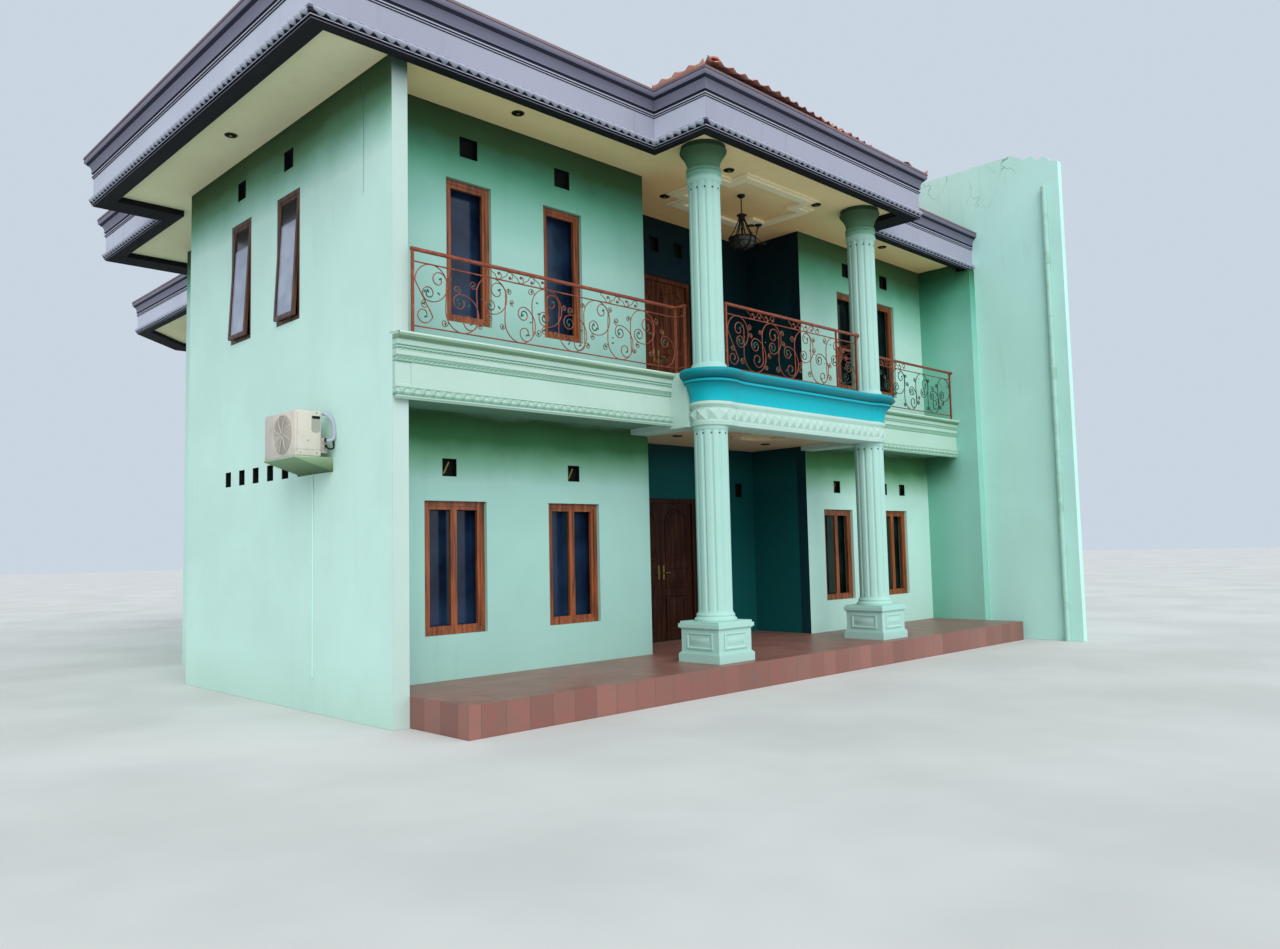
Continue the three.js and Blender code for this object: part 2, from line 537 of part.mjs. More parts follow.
// Hip roof: hipped volumes over each part of the plan, joined, then thinned to a sheet
function hip(x0, x1, y0, y1, z) {
  const half = Math.min(x1 - x0, y1 - y0) / 2;
  const rise = half * ROOF_PITCH;
  const points = [];
  for (const [x, y] of [[x0, y0], [x1, y0], [x1, y1], [x0, y1]]) {
    points.push(new THREE.Vector3(x, y, z), new THREE.Vector3(x, y, z + ROOF_EDGE));
  }
  for (const [x, y] of [[x0 + half, y0 + half], [x1 - half, y1 - half]]) {
    points.push(new THREE.Vector3(x, y, z + ROOF_EDGE + rise));
  }
  return new ConvexGeometry(points);
}
function roofSolid(grow, z) {
  const g = ROOF_OVER + grow;
  const right = EAVE_END_X + grow;
  const front = EAVE_FRONT_Y - g;
  const rear = EAVE_REAR_C_Y + g;
  const parts = [
    hip(EAVE_LEFT_X - g, right, front, EAVE_REAR_A_Y + g, z),
    hip(EAVE_REAR_B_X - g, right, front, EAVE_REAR_B_Y + g, z),
    hip(EAVE_REAR_C_X - g, right, front, rear, z),
    hip(PORCH_EAVE_X0 - g, PORCH_EAVE_X1 + g, PORCH_EAVE_Y - g, rear, z),
  ];
  // The cut-off rear corner has a slope of its own, so all above that slope is cut away
  const slope = 4500;
  const eave = z + ROOF_EDGE;
  const shape = [[-3000, z - 500], [0, z - 500], [0, eave], [slope, eave + slope * ROOF_PITCH],
    [slope, 14000], [-3000, 14000]];
  const cutter = polygon(shape, -6000, 6000);
  cutter.rotateX(Math.PI / 2);
  cutter.rotateZ(-Math.PI / 4);
  const out = g / Math.SQRT2;
  cutter.translate(EAVE_REAR_C_X + EAVE_CHAMFER / 2 - out, EAVE_REAR_C_Y - EAVE_CHAMFER / 2 + out, 0);
  return cut(join(parts), [cutter]);
}
// The sheet is parted along its hips and ridges, so each piece is one slope or two that meet in a valley
{
  const g = ROOF_OVER;
  const far = 2500;
  const [right, front, rear] = [EAVE_END_X, EAVE_FRONT_Y - g, EAVE_REAR_C_Y + g];
  const [leftA, rearA] = [EAVE_LEFT_X - g, EAVE_REAR_A_Y + g];
  const [leftB, rearB] = [EAVE_REAR_B_X - g, EAVE_REAR_B_Y + g];
  const [leftC, porch0, porch1] = [EAVE_REAR_C_X - g, PORCH_EAVE_X0 - g, PORCH_EAVE_X1 + g];
  const porchFrontY = PORCH_EAVE_Y - g;
  // Ridge heights are told by the run from the eave
  const runA = (rearA - front) / 2;
  const runB = (rearB - front) / 2;
  const runC = (right - leftC) / 2;
  const runP = (porch1 - porch0) / 2;
  const ridgeA = [leftA + runA, front + runA];
  const stepA = [leftB + runA, front + runA];
  const ridgeB = [leftB + runB, front + runB];
  const stepB = [leftC + runB, front + runB];
  const ridgeC0 = [leftC + runC, front + runC];
  const ridgeC1 = [leftC + runC, rear - runC];
  const ridgeP = [porch0 + runP, porchFrontY + runP];
  const ridgeOverP = [ridgeP[0], ridgeB[1]];
  // Where the cut-off corner's slope meets the slopes on either side
  const half = EAVE_CHAMFER / 2 + g * (1 - 1 / Math.SQRT2);
  const cornerMid = [leftC + half, rear - half];
  const reach = half * Math.SQRT2 / Math.tan(Math.PI / 8) / Math.SQRT2;
  const corner0 = [leftC, rear - 2 * half];
  const corner1 = [leftC + 2 * half, rear];
  const apex = [cornerMid[0] + reach, cornerMid[1] - reach];
  const out = (from, x, y) => [from[0] + x * far, from[1] + y * far];
  const slopes = {
    roof_left: [out([leftA, front], -1, -1), ridgeA, out([leftA, rearA], -1, 1)],
    roof_rear_a: [out([leftA, rearA], -1, 1), ridgeA, stepA, ridgeB, out([leftB, rearB], -1, 1)],
    roof_rear_b: [out([leftB, rearB], -1, 1), ridgeB, stepB, ridgeC0, ridgeC1, apex, corner0,
      out(corner0, -1, 0.4142)],
    roof_rear_corner: [out(corner0, -1, 0.4142), corner0, apex, corner1, out(corner1, -0.4142, 1)],
    roof_rear: [out(corner1, -0.4142, 1), corner1, apex, ridgeC1, out([right, rear], 1, 1)],
    roof_right: [out([right, rear], 1, 1), ridgeC1, ridgeC0, out([right, front], 1, -1)],
    roof_front_right: [out([right, front], 1, -1), ridgeC0, stepB, ridgeOverP, ridgeP,
      out([porch1, porchFrontY], 1, -1)],
    roof_porch: [out([porch1, porchFrontY], 1, -1), ridgeP, out([porch0, porchFrontY], -1, -1)],
    roof_front_left: [out([porch0, porchFrontY], -1, -1), ridgeP, ridgeOverP, ridgeB, stepA, ridgeA,
      out([leftA, front], -1, -1)],
  };
  const z = CROWN_TOP_Z + GAP;
  const whole = roofSolid(0, z).subtract(roofSolid(8, z - ROOF_SHEET));
  let sheet = cut(whole, [box(-3000, 14000, -3000, 20000, 7000, z)]);
  for (const line of Object.values(slopes)) {
    for (let i = 0; i < line.length - 1; i += 1) {
      const [[ax, ay], [bx, by]] = [line[i], line[i + 1]];
      const length = Math.hypot(bx - ax, by - ay);
      const slit = box(-GAP, length + GAP, -GAP / 2, GAP / 2, 7000, 12000);
      slit.rotateZ(Math.atan2(by - ay, bx - ax));
      slit.translate(ax, ay, 0);
      sheet = sheet.subtract(solid(slit));
    }
  }
  for (const [name, line] of Object.entries(slopes)) {
    put(name, toGeometry(sheet.intersect(solid(polygon(line, 7000, 12000)))), clay());
  }
}

// Window frames with a sash in each
function frame(w, h) {
  const ring = (outerW, outerH, bar, depth) => {
    const shape = new THREE.Shape([[-1, -1], [1, -1], [1, 1], [-1, 1]].map(
      ([a, b]) => new THREE.Vector2(a * outerW / 2, b * outerH / 2)));
    shape.holes.push(new THREE.Path([[-1, -1], [-1, 1], [1, 1], [1, -1]].map(
      ([a, b]) => new THREE.Vector2(a * (outerW / 2 - bar), b * (outerH / 2 - bar)))));
    const geometry = new THREE.ExtrudeGeometry(shape, { depth, bevelEnabled: false });
    geometry.rotateX(Math.PI / 2);
    geometry.translate(0, depth, 0);
    return geometry;
  };
  return { outer: ring(w - 2 * GAP, h - 2 * GAP, FRAME_BAR, FRAME_DEPTH), ring };
}
function windowGeometry(w, h, casements, open) {
  const { outer, ring } = frame(w, h);
  const innerW = w - 2 * FRAME_BAR;
  const innerH = h - 2 * FRAME_BAR;
  let body = solid(outer);
  for (let i = 0; i < casements; i += 1) {
    const sash = ring(innerW / casements + 10, innerH + 10, SASH_BAR, SASH_DEPTH);
    if (open) {
      sash.translate(0, -12, -innerH / 2);
      sash.rotateX(-SASH_OPEN_ANGLE);
      sash.translate(0, 12, innerH / 2);
    }
    sash.translate((i - (casements - 1) / 2) * (innerW / casements), 8, 0);
    body = body.add(solid(sash));
  }
  return toGeometry(body);
}
UPPER_WINDOW_X.forEach((x, i) => {
  const geometry = windowGeometry(WINDOW_W, WINDOW_Z1 - WINDOW_Z0, 1, false);
  geometry.translate(x, FRONT_Y + FRAME_SET_BACK, (WINDOW_Z0 + WINDOW_Z1) / 2);
  put(`upper_window_${i + 1}`, geometry, timber());
});
LOW_WINDOW_X.forEach((x, i) => {
  const geometry = windowGeometry(LOW_WINDOW_W, LOW_WINDOW_Z1 - LOW_WINDOW_Z0, 2, false);
  geometry.translate(x, FRONT_Y + FRAME_SET_BACK, (LOW_WINDOW_Z0 + LOW_WINDOW_Z1) / 2);
  put(`lower_window_${i + 1}`, geometry, timber());
});
SIDE_WINDOW_Y.forEach((y, i) => {
  const geometry = windowGeometry(SIDE_WINDOW_W, SIDE_WINDOW_Z1 - SIDE_WINDOW_Z0, 1, true);
  geometry.rotateZ(-Math.PI / 2);
  geometry.translate(SIDE_SET_BACK, y, (SIDE_WINDOW_Z0 + SIDE_WINDOW_Z1) / 2);
  put(`side_window_${i + 1}`, geometry, timber());
});
{
  const upper = windowGeometry(WINDOW_W, WINDOW_Z1 - WINDOW_Z0, 1, false);
  upper.rotateZ(Math.PI);
  upper.translate(REAR_WINDOW_X, REAR_C_Y - FRAME_SET_BACK, (WINDOW_Z0 + WINDOW_Z1) / 2);
  put('rear_window_upper', upper, timber());
  const lower = windowGeometry(LOW_WINDOW_W, LOW_WINDOW_Z1 - LOW_WINDOW_Z0, 2, false);
  lower.rotateZ(Math.PI);
  lower.translate(REAR_WINDOW_X, REAR_C_Y - FRAME_SET_BACK, (LOW_WINDOW_Z0 + LOW_WINDOW_Z1) / 2);
  put('rear_window_lower', lower, timber());
}

// One sheet of glass behind each wall's windows on each floor
const SHEET_Y = FRONT_Y + WALL + GAP;
function sheet(name, xs, w, z0, z1) {
  const x0 = Math.min(...xs) - w / 2 - 40;
  const x1 = Math.max(...xs) + w / 2 + 40;
  put(name, box(x0, x1, SHEET_Y, SHEET_Y + GLASS, z0 - 40, z1 + 40), darkGlass());
}
sheet('glass_upper_left', UPPER_WINDOW_X.slice(0, 2), WINDOW_W, WINDOW_Z0, WINDOW_Z1);
sheet('glass_upper_right', UPPER_WINDOW_X.slice(2), WINDOW_W, WINDOW_Z0, WINDOW_Z1);
sheet('glass_lower_left', LOW_WINDOW_X.slice(0, 2), LOW_WINDOW_W, LOW_WINDOW_Z0, LOW_WINDOW_Z1);
sheet('glass_lower_right', LOW_WINDOW_X.slice(2), LOW_WINDOW_W, LOW_WINDOW_Z0, LOW_WINDOW_Z1);
put('glass_side', box(WALL + GAP, WALL + GAP + GLASS, SIDE_WINDOW_Y[0] - 370, SIDE_WINDOW_Y[1] + 370,
  SIDE_WINDOW_Z0 - 40, SIDE_WINDOW_Z1 + 40), darkGlass());
put('glass_rear_upper', box(REAR_WINDOW_X - 370, REAR_WINDOW_X + 370, REAR_C_Y - WALL - GAP - GLASS,
  REAR_C_Y - WALL - GAP, WINDOW_Z0 - 40, WINDOW_Z1 + 40), darkGlass());
put('glass_rear_lower', box(REAR_WINDOW_X - 475, REAR_WINDOW_X + 475, REAR_C_Y - WALL - GAP - GLASS,
  REAR_C_Y - WALL - GAP, LOW_WINDOW_Z0 - 40, LOW_WINDOW_Z1 + 40), darkGlass());

// Double panelled doors
function doorPair(z0, z1) {
  const y0 = RECESS_Y + 40;
  const x0 = DOOR_X0 + GAP;
  const x1 = DOOR_X1 - GAP;
  const centre = (x0 + x1) / 2;
  const body = join([
    box(x0, x1, y0 + 20, y0 + 65, z0 + GAP, z1 - GAP),
    box(x0, x0 + 70, y0, y0 + 110, z0 + GAP, z1 - GAP),
    box(x1 - 70, x1, y0, y0 + 110, z0 + GAP, z1 - GAP),
    box(x0, x1, y0, y0 + 110, z1 - GAP - 70, z1 - GAP),
    box(centre - 30, centre + 30, y0 + 5, y0 + 70, z0 + GAP, z1 - 50),
  ]);
  const panels = [];
  const height = (z1 - z0 - 200) / 3;
  for (const cx of [(x0 + 70 + centre - 30) / 2, (x1 - 70 + centre + 30) / 2]) {
    for (let k = 0; k < 3; k += 1) {
      const pz = z0 + 110 + k * height;
      panels.push(box(cx - 245, cx + 245, y0 + 10, y0 + 34, pz, pz + height - 70));
    }
  }
  return toGeometry(cut(body, panels));
}
put('door_upper', doorPair(DECK_TOP_Z, UPPER_DOOR_TOP_Z), timber());
put('door_lower', doorPair(FLOOR_Z, LOWER_DOOR_TOP_Z), timber());

// Railings: posts, rails and a fused screen of slim bars
function railing(path, rise) {
  const top = CURB_TOP_Z + RAIL_TOP + rise;
  const second = CURB_TOP_Z + RAIL_SECOND + rise;
  const bottom = CURB_TOP_Z + RAIL_BOTTOM;
  const parts = [];
  for (let i = 0; i < path.length - 1; i += 1) {
    const [ax, ay] = path[i];
    const [bx, by] = path[i + 1];
    const run = (half, z0, z1) => box(Math.min(ax, bx) - half, Math.max(ax, bx) + half,
      Math.min(ay, by) - half, Math.max(ay, by) + half, z0, z1);
    parts.push(run(22, top - 36, top), run(10, second - 10, second + 10), run(10, bottom - 10, bottom + 10));
    const length = Math.hypot(bx - ax, by - ay);
    const count = Math.round(length / BAR_PITCH);
    for (let k = 1; k < count; k += 1) {
      const x = ax + (bx - ax) * (k / count);
      const y = ay + (by - ay) * (k / count);
      parts.push(box(x - BAR / 2, x + BAR / 2, y - BAR / 2, y + BAR / 2, bottom, top - 18));
    }
  }
  for (const [x, y] of path) {
    parts.push(box(x - POST / 2, x + POST / 2, y - POST / 2, y + POST / 2, CURB_TOP_Z + GAP, top - 5));
  }
  return toGeometry(join(parts));
}
const leftRail = [[RAIL_X[0], RAIL_Y], [RAIL_X[1], RAIL_Y], [RAIL_X[1], RAIL_RETURN_Y]];
const porchRail = [[PORCH_RAIL_X[0], PORCH_RAIL_Y], [PORCH_RAIL_X[1], PORCH_RAIL_Y]];
const rightRail = [[RAIL_X[2], RAIL_RETURN_Y], [RAIL_X[2], RIGHT_RAIL_Y], [RAIL_X[3], RIGHT_RAIL_Y]];
put('railing_left', railing(leftRail, 0), ironwork());
put('railing_porch', railing(porchRail, PORCH_RAIL_RISE), ironwork());
put('railing_right', railing(rightRail, 0), ironwork());

// Chandelier under the porch ceiling
const LAMP = [
  [0, 6335], [60, 6340], [150, 6380], [195, 6450], [215, 6500], [205, 6520], [150, 6620], [100, 6720],
  [60, 6810], [45, 6850], [80, 6858], [80, 6880], [14, 6890], [14, 7110], [50, 7140],
  [60, WALL_TOP_Z - GAP], [0, WALL_TOP_Z - GAP],
];
put('chandelier', lathe(LAMP, LAMP_X, LAMP_Y, 16), material(0x3a2c22, 0.5, 0.7));

// Air-conditioner unit on a wedge-shaped ledge against the left wall
{
  const corners = [[-GAP, 2750], [-GAP, 2912], [-455, 2912], [-455, 2895]];
  const wedge = new THREE.Shape(corners.map(([x, z]) => new THREE.Vector2(x, z)));
  const ledge = new THREE.ExtrudeGeometry(wedge, { depth: AC_Y1 - AC_Y0, bevelEnabled: false });
  ledge.rotateX(Math.PI / 2);
  ledge.translate(0, AC_Y1, 0);
  const body = join([box(-450, -140, AC_Y0, AC_Y1, 2910, 3430), ledge]);
  put('ac_unit', toGeometry(body), material(0xd6cfbc, 0.5));
}

// Rain pipe on the boundary wall
put('rain_pipe', (() => {
  const geometry = new THREE.CylinderGeometry(50, 50, 8300, 16);
  geometry.rotateX(Math.PI / 2);
  geometry.translate(RIGHT_X + RIGHT_WALL - 50, -1790, 4150);
  return geometry;
})(), material(0x9fcdbd, 0.6));

const group = new THREE.Group();
group.add(house);

export default group;
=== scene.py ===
"""Looks of a two-storey house with a columned porch, railed balconies, moulded eaves and a tiled hip roof."""
import bisect
import math
import random

import bmesh
import bpy
import numpy as np
from mathutils import Matrix, Vector


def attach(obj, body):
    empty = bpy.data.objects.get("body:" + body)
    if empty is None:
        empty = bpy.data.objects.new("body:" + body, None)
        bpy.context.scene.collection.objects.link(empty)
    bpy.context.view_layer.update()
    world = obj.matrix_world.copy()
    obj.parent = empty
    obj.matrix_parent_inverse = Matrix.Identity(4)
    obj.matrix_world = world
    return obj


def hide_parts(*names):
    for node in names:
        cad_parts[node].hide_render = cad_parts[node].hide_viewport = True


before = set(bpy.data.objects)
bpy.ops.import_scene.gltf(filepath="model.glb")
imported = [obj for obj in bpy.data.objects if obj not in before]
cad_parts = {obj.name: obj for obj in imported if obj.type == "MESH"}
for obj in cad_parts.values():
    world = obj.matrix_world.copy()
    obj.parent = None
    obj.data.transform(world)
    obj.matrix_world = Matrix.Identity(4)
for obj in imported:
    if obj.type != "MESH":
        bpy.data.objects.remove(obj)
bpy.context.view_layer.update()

# House coordinates (origin at the left wall's front corner) of the frame's origin
CENTRE = Vector((5.73615, 7.229, 0))

# Camera, in house coordinates
CAMERA = Vector((-5.295, -9.038, 1.794))
YAW = 0.7780
PITCH = 0.0762
ROLL = -0.0220
LENS = 27.534

# Levels
FLOOR = 0.33
DECK_BOTTOM = 3.47
DECK_TOP = 3.83
CURB = 4.13
SOFFIT = 7.19
EAVE_TOP = 7.75

# Columns
COLUMN_X = (4.42, 8.22)
COLUMN_Y = -0.53
FLUTES = 12
FLUTE_START = math.radians(13.7)

# Distance of the left wall's hairline crack in front of the frame's middle
CRACK_Y = 6.62

# The right balcony lies a little further back than the left one
RIGHT_BALCONY_Y = 0.14

# Plan of the fascia, outward on its left
EAVE_END = 12.4997
EAVES = [
    (EAVE_END, -0.32), (8.91, -0.32), (8.91, -1.22), (3.7, -1.22), (3.7, -0.32), (-1.07, -0.32),
    (-1.07, 6.68), (-0.11, 6.68), (-0.11, 9.45), (2.18, 9.45), (2.18, 15.1), (3.48, 16.4), (EAVE_END, 16.4),
]
PARTY_END_Y = 15.47

# How far the roof sheets reach past the fascia, and how steep they are
ROOF_OVER = 0.115
PITCH_TAN = math.tan(math.radians(27))


def srgb(red, green, blue):
    """Linear colour of an sRGB one given in 0 to 255"""
    parts = []
    for value in (red, green, blue):
        share = value / 255
        parts.append(share / 12.92 if share <= 0.04045 else ((share + 0.055) / 1.055) ** 2.4)
    return (*parts, 1.0)


def dyed(colour, shares):
    """A colour with its parts scaled"""
    return (*(part * share for part, share in zip(colour, shares)), 1)


class Look:
    """A node material mixed from the object's own coordinates"""

    def __init__(self, name, roughness=0.8, metallic=0.0, specular=0.5):
        self.material = bpy.data.materials.new(name)
        self.material.use_nodes = True
        self.tree = self.material.node_tree
        self.shader = self.tree.nodes["Principled BSDF"]
        self.shader.inputs["Roughness"].default_value = roughness
        self.shader.inputs["Metallic"].default_value = metallic
        self.shader.inputs["Specular IOR Level"].default_value = specular
        self.where = self.node("ShaderNodeTexCoord").outputs["Object"]

    def node(self, kind, inputs=None, **settings):
        made = self.tree.nodes.new(kind)
        for key, value in settings.items():
            setattr(made, key, value)
        for key, value in (inputs or {}).items():
            self.feed(made.inputs[key], value)
        return made

    def feed(self, socket, value):
        if isinstance(value, bpy.types.NodeSocket):
            self.tree.links.new(value, socket)
        else:
            socket.default_value = value

    def noise(self, scale, detail=3.0, rough=0.55, stretch=(1, 1, 1), warp=0.0):
        place = self.node("ShaderNodeMapping", {"Vector": self.where, "Scale": stretch}).outputs["Vector"]
        inputs = {"Vector": place, "Scale": scale, "Detail": detail, "Roughness": rough, "Distortion": warp}
        return self.node("ShaderNodeTexNoise", inputs).outputs["Fac"]

    def remap(self, value, low, high, to_low=0.0, to_high=1.0, kind="SMOOTHSTEP"):
        inputs = {"Value": value, "From Min": low, "From Max": high, "To Min": to_low, "To Max": to_high}
        return self.node("ShaderNodeMapRange", inputs, interpolation_type=kind).outputs["Result"]

    def blotches(self, scale, detail=3.0, low=0.3, high=0.7):
        """Soft patches as a share"""
        return self.remap(self.noise(scale, detail), low, high)

    def part(self, vector, letter):
        return self.node("ShaderNodeSeparateXYZ", {"Vector": vector}).outputs[letter]

    def axis(self, letter):
        return self.part(self.where, letter)

    def facing(self, letter):
        return self.part(self.node("ShaderNodeNewGeometry").outputs["Normal"], letter)

    def band(self, letter, low, high, to_low=0.0, to_high=1.0):
        """Share that changes along one axis between two places"""
        return self.remap(self.axis(letter), low, high, to_low, to_high)

    def maths(self, operation, first, second=0.0):
        return self.node("ShaderNodeMath", {0: first, 1: second}, operation=operation).outputs["Value"]

    def plus(self, first, second):
        return self.maths("ADD", first, second)

    def times(self, first, *others):
        for other in others:
            first = self.maths("MULTIPLY", first, other)
        return first

    def ramp(self, value, stops):
        made = self.node("ShaderNodeValToRGB", {"Fac": value})
        elements = made.color_ramp.elements
        while len(elements) < len(stops):
            elements.new(0.5)
        for element, (position, colour) in zip(elements, stops):
            element.position = position
            element.color = colour
        return made.outputs["Color"]

    def mix(self, share, first, second, blend="MIX"):
        inputs = {"Factor": share, 6: first, 7: second}
        return self.node("ShaderNodeMix", inputs, data_type="RGBA", blend_type=blend).outputs[2]

    def tint(self, share, tone, factors):
        """Scales the parts of a tone, as far as share says"""
        return self.mix(share, tone, (*factors, 1), "MULTIPLY")

    def colour(self, value):
        self.tone = value
        self.feed(self.shader.inputs["Base Color"], value)
        return self

    def rough(self, value):
        self.feed(self.shader.inputs["Roughness"], value)
        return self

    def bump(self, height, distance, strength=0.6):
        made = self.node("ShaderNodeBump", {"Strength": strength, "Distance": distance, "Height": height})
        self.feed(self.shader.inputs["Normal"], made.outputs["Normal"])
        return self


def plaster(name, colour, shade=None, rough=0.8, stain=(0.55, 0.6, 0.5), stain_share=0.12,
            wear=0.035, wobble=0.05):
    """Painted plaster with patches and fine streaks that run down. shade scales the colour by height."""
    look = Look(name, rough, specular=0.2)
    light = (*(min(1, part * (1 + wear)) for part in colour[:3]), 1)
    patches = look.noise(0.7, 4, 0.6)
    tone = look.mix(look.remap(patches, 0.3, 0.7), dyed(colour, [1 - wear] * 3), light)
    streaks = look.remap(look.noise(9, 3, 0.6, stretch=(1, 1, 0.07)), 0.52, 0.8)
    dirt = look.times(streaks, look.blotches(0.5, 2, 0.4, 0.65), stain_share)
    tone = look.mix(dirt, tone, dyed(colour, stain))
    if shade:
        low, high = shade[0][0], shade[-1][0]
        shift = look.remap(look.noise(1.3, 3), 0.2, 0.8, -wobble, wobble)
        height = look.remap(look.plus(look.axis("Z"), shift), low, high, kind="LINEAR")
        stops = [((z - low) / (high - low), (*parts, 1)) for z, *parts in shade]
        tone = look.mix(1.0, tone, look.ramp(height, stops), "MULTIPLY")
    grain = look.times(look.noise(60, 3, 0.6), 0.35)
    look.bump(look.plus(grain, look.noise(2.5, 2)), 0.004, 0.5)
    look.rough(look.remap(patches, 0.2, 0.8, rough - 0.08, rough + 0.08))
    return look.colour(tone)


def timber(name, dark, light, rough=0.45, specular=0.5):
    """Varnished timber with grain that runs up"""
    look = Look(name, rough, specular=specular)
    grain = look.noise(22, 4, 0.65, stretch=(1, 1, 0.06), warp=0.6)
    fine = look.noise(120, 2, 0.5, stretch=(1, 1, 0.03))
    tone = look.mix(look.remap(grain, 0.3, 0.7), dark, light)
    tone = look.mix(look.times(look.remap(fine, 0.45, 0.8), 0.35), tone, dyed(dark, [0.4] * 3))
    look.bump(look.plus(grain, look.times(fine, 0.4)), 0.0015, 0.5)
    look.rough(look.remap(grain, 0.2, 0.8, rough + 0.1, rough - 0.08))
    return look.colour(tone)


def metal(name, base, worn, share=0.4, rough=0.5, metallic=0.3, scale=14):
    """Painted iron with worn, lighter patches"""
    look = Look(name, rough, metallic)
    patches = look.remap(look.noise(scale, 4, 0.65), 0.45, 0.75)
    look.bump(look.noise(scale * 6, 2), 0.0006, 0.4)
    look.rough(look.remap(patches, 0, 1, rough, rough + 0.15))
    return look.colour(look.mix(look.times(patches, share), base, worn))


# Painted shade: heights, each with shares of the plain colour's red, green and blue
UNDER_EAVES = [
    (0.0, 0.93, 0.93, 0.9), (0.5, 1, 1, 1), (2.65, 1, 1, 1), (2.95, 0.5, 0.68, 0.48),
    (3.15, 0.15, 0.33, 0.14), (3.42, 0.09, 0.16, 0.06), (3.7, 0.9, 0.95, 0.9), (4.2, 1, 1, 1),
    (5.6, 1, 1, 1), (6.2, 0.66, 0.86, 0.78), (6.45, 0.42, 0.72, 0.55), (6.65, 0.24, 0.5, 0.34),
    (6.9, 0.12, 0.18, 0.08), (7.19, 0.085, 0.1, 0.045),
]
UNDER_LEFT_EAVE = [
    (0.0, 0.9, 0.9, 0.86), (0.6, 1, 1, 1), (6.15, 1, 1, 1), (6.42, 0.6, 0.76, 0.7), (6.72, 0.2, 0.33, 0.22),
    (6.95, 0.07, 0.11, 0.045), (7.19, 0.03, 0.055, 0.02),
]
RIGHT_WALL_TONES = [
    (0.0, 0.95, 0.95, 0.93), (5.2, 1, 1, 1), (6.0, 0.7, 0.85, 0.8), (6.6, 0.34, 0.6, 0.48),
    (7.0, 0.1, 0.2, 0.1), (7.19, 0.07, 0.12, 0.06),
]
UNDER_RING = [
    (3.9, 1, 1, 1), (6.5, 1, 1, 1), (6.68, 0.95, 1, 0.96), (6.75, 1, 1.02, 1), (6.765, 0.6, 0.78, 0.66),
    (6.84, 0.42, 0.56, 0.42), (6.9, 0.3, 0.42, 0.27), (7.0, 0.19, 0.25, 0.15), (7.06, 0.14, 0.18, 0.1),
    (7.11, 0.14, 0.17, 0.1), (7.135, 0.06, 0.11, 0.07),
]
# Balcony edges: painted shade behind the hanging teeth, along the bead rows and under the cap, and painted
# highlight just above the teeth and along the cap.
EDGE_TONES = [
    (3.42, 1, 1, 1), (3.455, 0.95, 1, 0.97), (3.465, 0.3, 0.46, 0.36), (3.49, 0.55, 0.7, 0.62),
    (3.5, 0.95, 1, 0.98), (3.53, 0.95, 1, 0.98), (3.538, 0.4, 0.56, 0.46), (3.546, 1.08, 1.05, 1.04),
    (3.58, 1, 1, 1), (3.81, 1, 1, 1), (3.818, 0.4, 0.58, 0.48), (3.83, 0.45, 0.64, 0.54),
    (3.836, 0.78, 0.9, 0.85), (3.85, 0.85, 0.95, 0.9), (3.858, 0.4, 0.58, 0.48), (3.872, 0.5, 0.68, 0.58),
    (3.884, 1, 1, 1), (3.945, 1, 1, 1), (3.952, 0.4, 0.58, 0.48), (3.962, 0.5, 0.66, 0.56),
    (3.968, 0.85, 0.95, 0.9), (3.978, 0.8, 0.92, 0.86), (3.984, 0.45, 0.62, 0.52),
    (3.992, 0.55, 0.72, 0.62), (3.998, 1, 1, 1), (4.04, 0.95, 1, 0.98), (4.052, 0.36, 0.45, 0.33),
    (4.1, 0.5, 0.6, 0.46), (4.11, 1.1, 1.08, 1.06), (4.15, 1.15, 1.1, 1.08),
]
# Belt: painted shade under its fillets and over its torus, most at the torus's foot, and painted highlight on
# the cove below, on a fillet and at the torus's top.
BELT_TONES = [
    (3.7, 1, 1.3, 1.26), (3.86, 1, 1.1, 1.08), (3.93, 0.7, 0.85, 0.85), (3.944, 0.4, 0.45, 0.45),
    (3.952, 0.5, 0.5, 0.5), (3.958, 1, 1.25, 1.25), (3.984, 1, 1.15, 1.15), (3.99, 0.3, 0.35, 0.35),
    (3.998, 0.35, 0.4, 0.4), (4.03, 0.4, 0.44, 0.44), (4.075, 0.5, 0.54, 0.54), (4.105, 0.7, 0.84, 0.84),
    (4.13, 0.9, 1.1, 1.06),
]
LEDGE_TONES = [(2.74, 0.14, 0.16, 0.1), (2.8, 0.3, 0.34, 0.24), (2.9, 0.6, 0.6, 0.48), (2.912, 1, 1, 1)]
RECESS_TONES = [
    (3.0, 0.6, 1.7, 1.25), (3.47, 0.4, 0.5, 0.45), (3.9, 1, 1, 1), (6.2, 0.3, 0.45, 0.5),
    (7.19, 0.1, 0.18, 0.18),
]
TEETH_TONES = [(7.06, 0.3, 0.32, 0.36), (7.09, 0.75, 0.76, 0.78), (7.12, 1, 1, 1)]
ROOF_TONES = [(7.76, 1.1, 1.0, 1.1), (7.8, 1, 1, 1), (7.9, 0.8, 0.75, 0.7)]

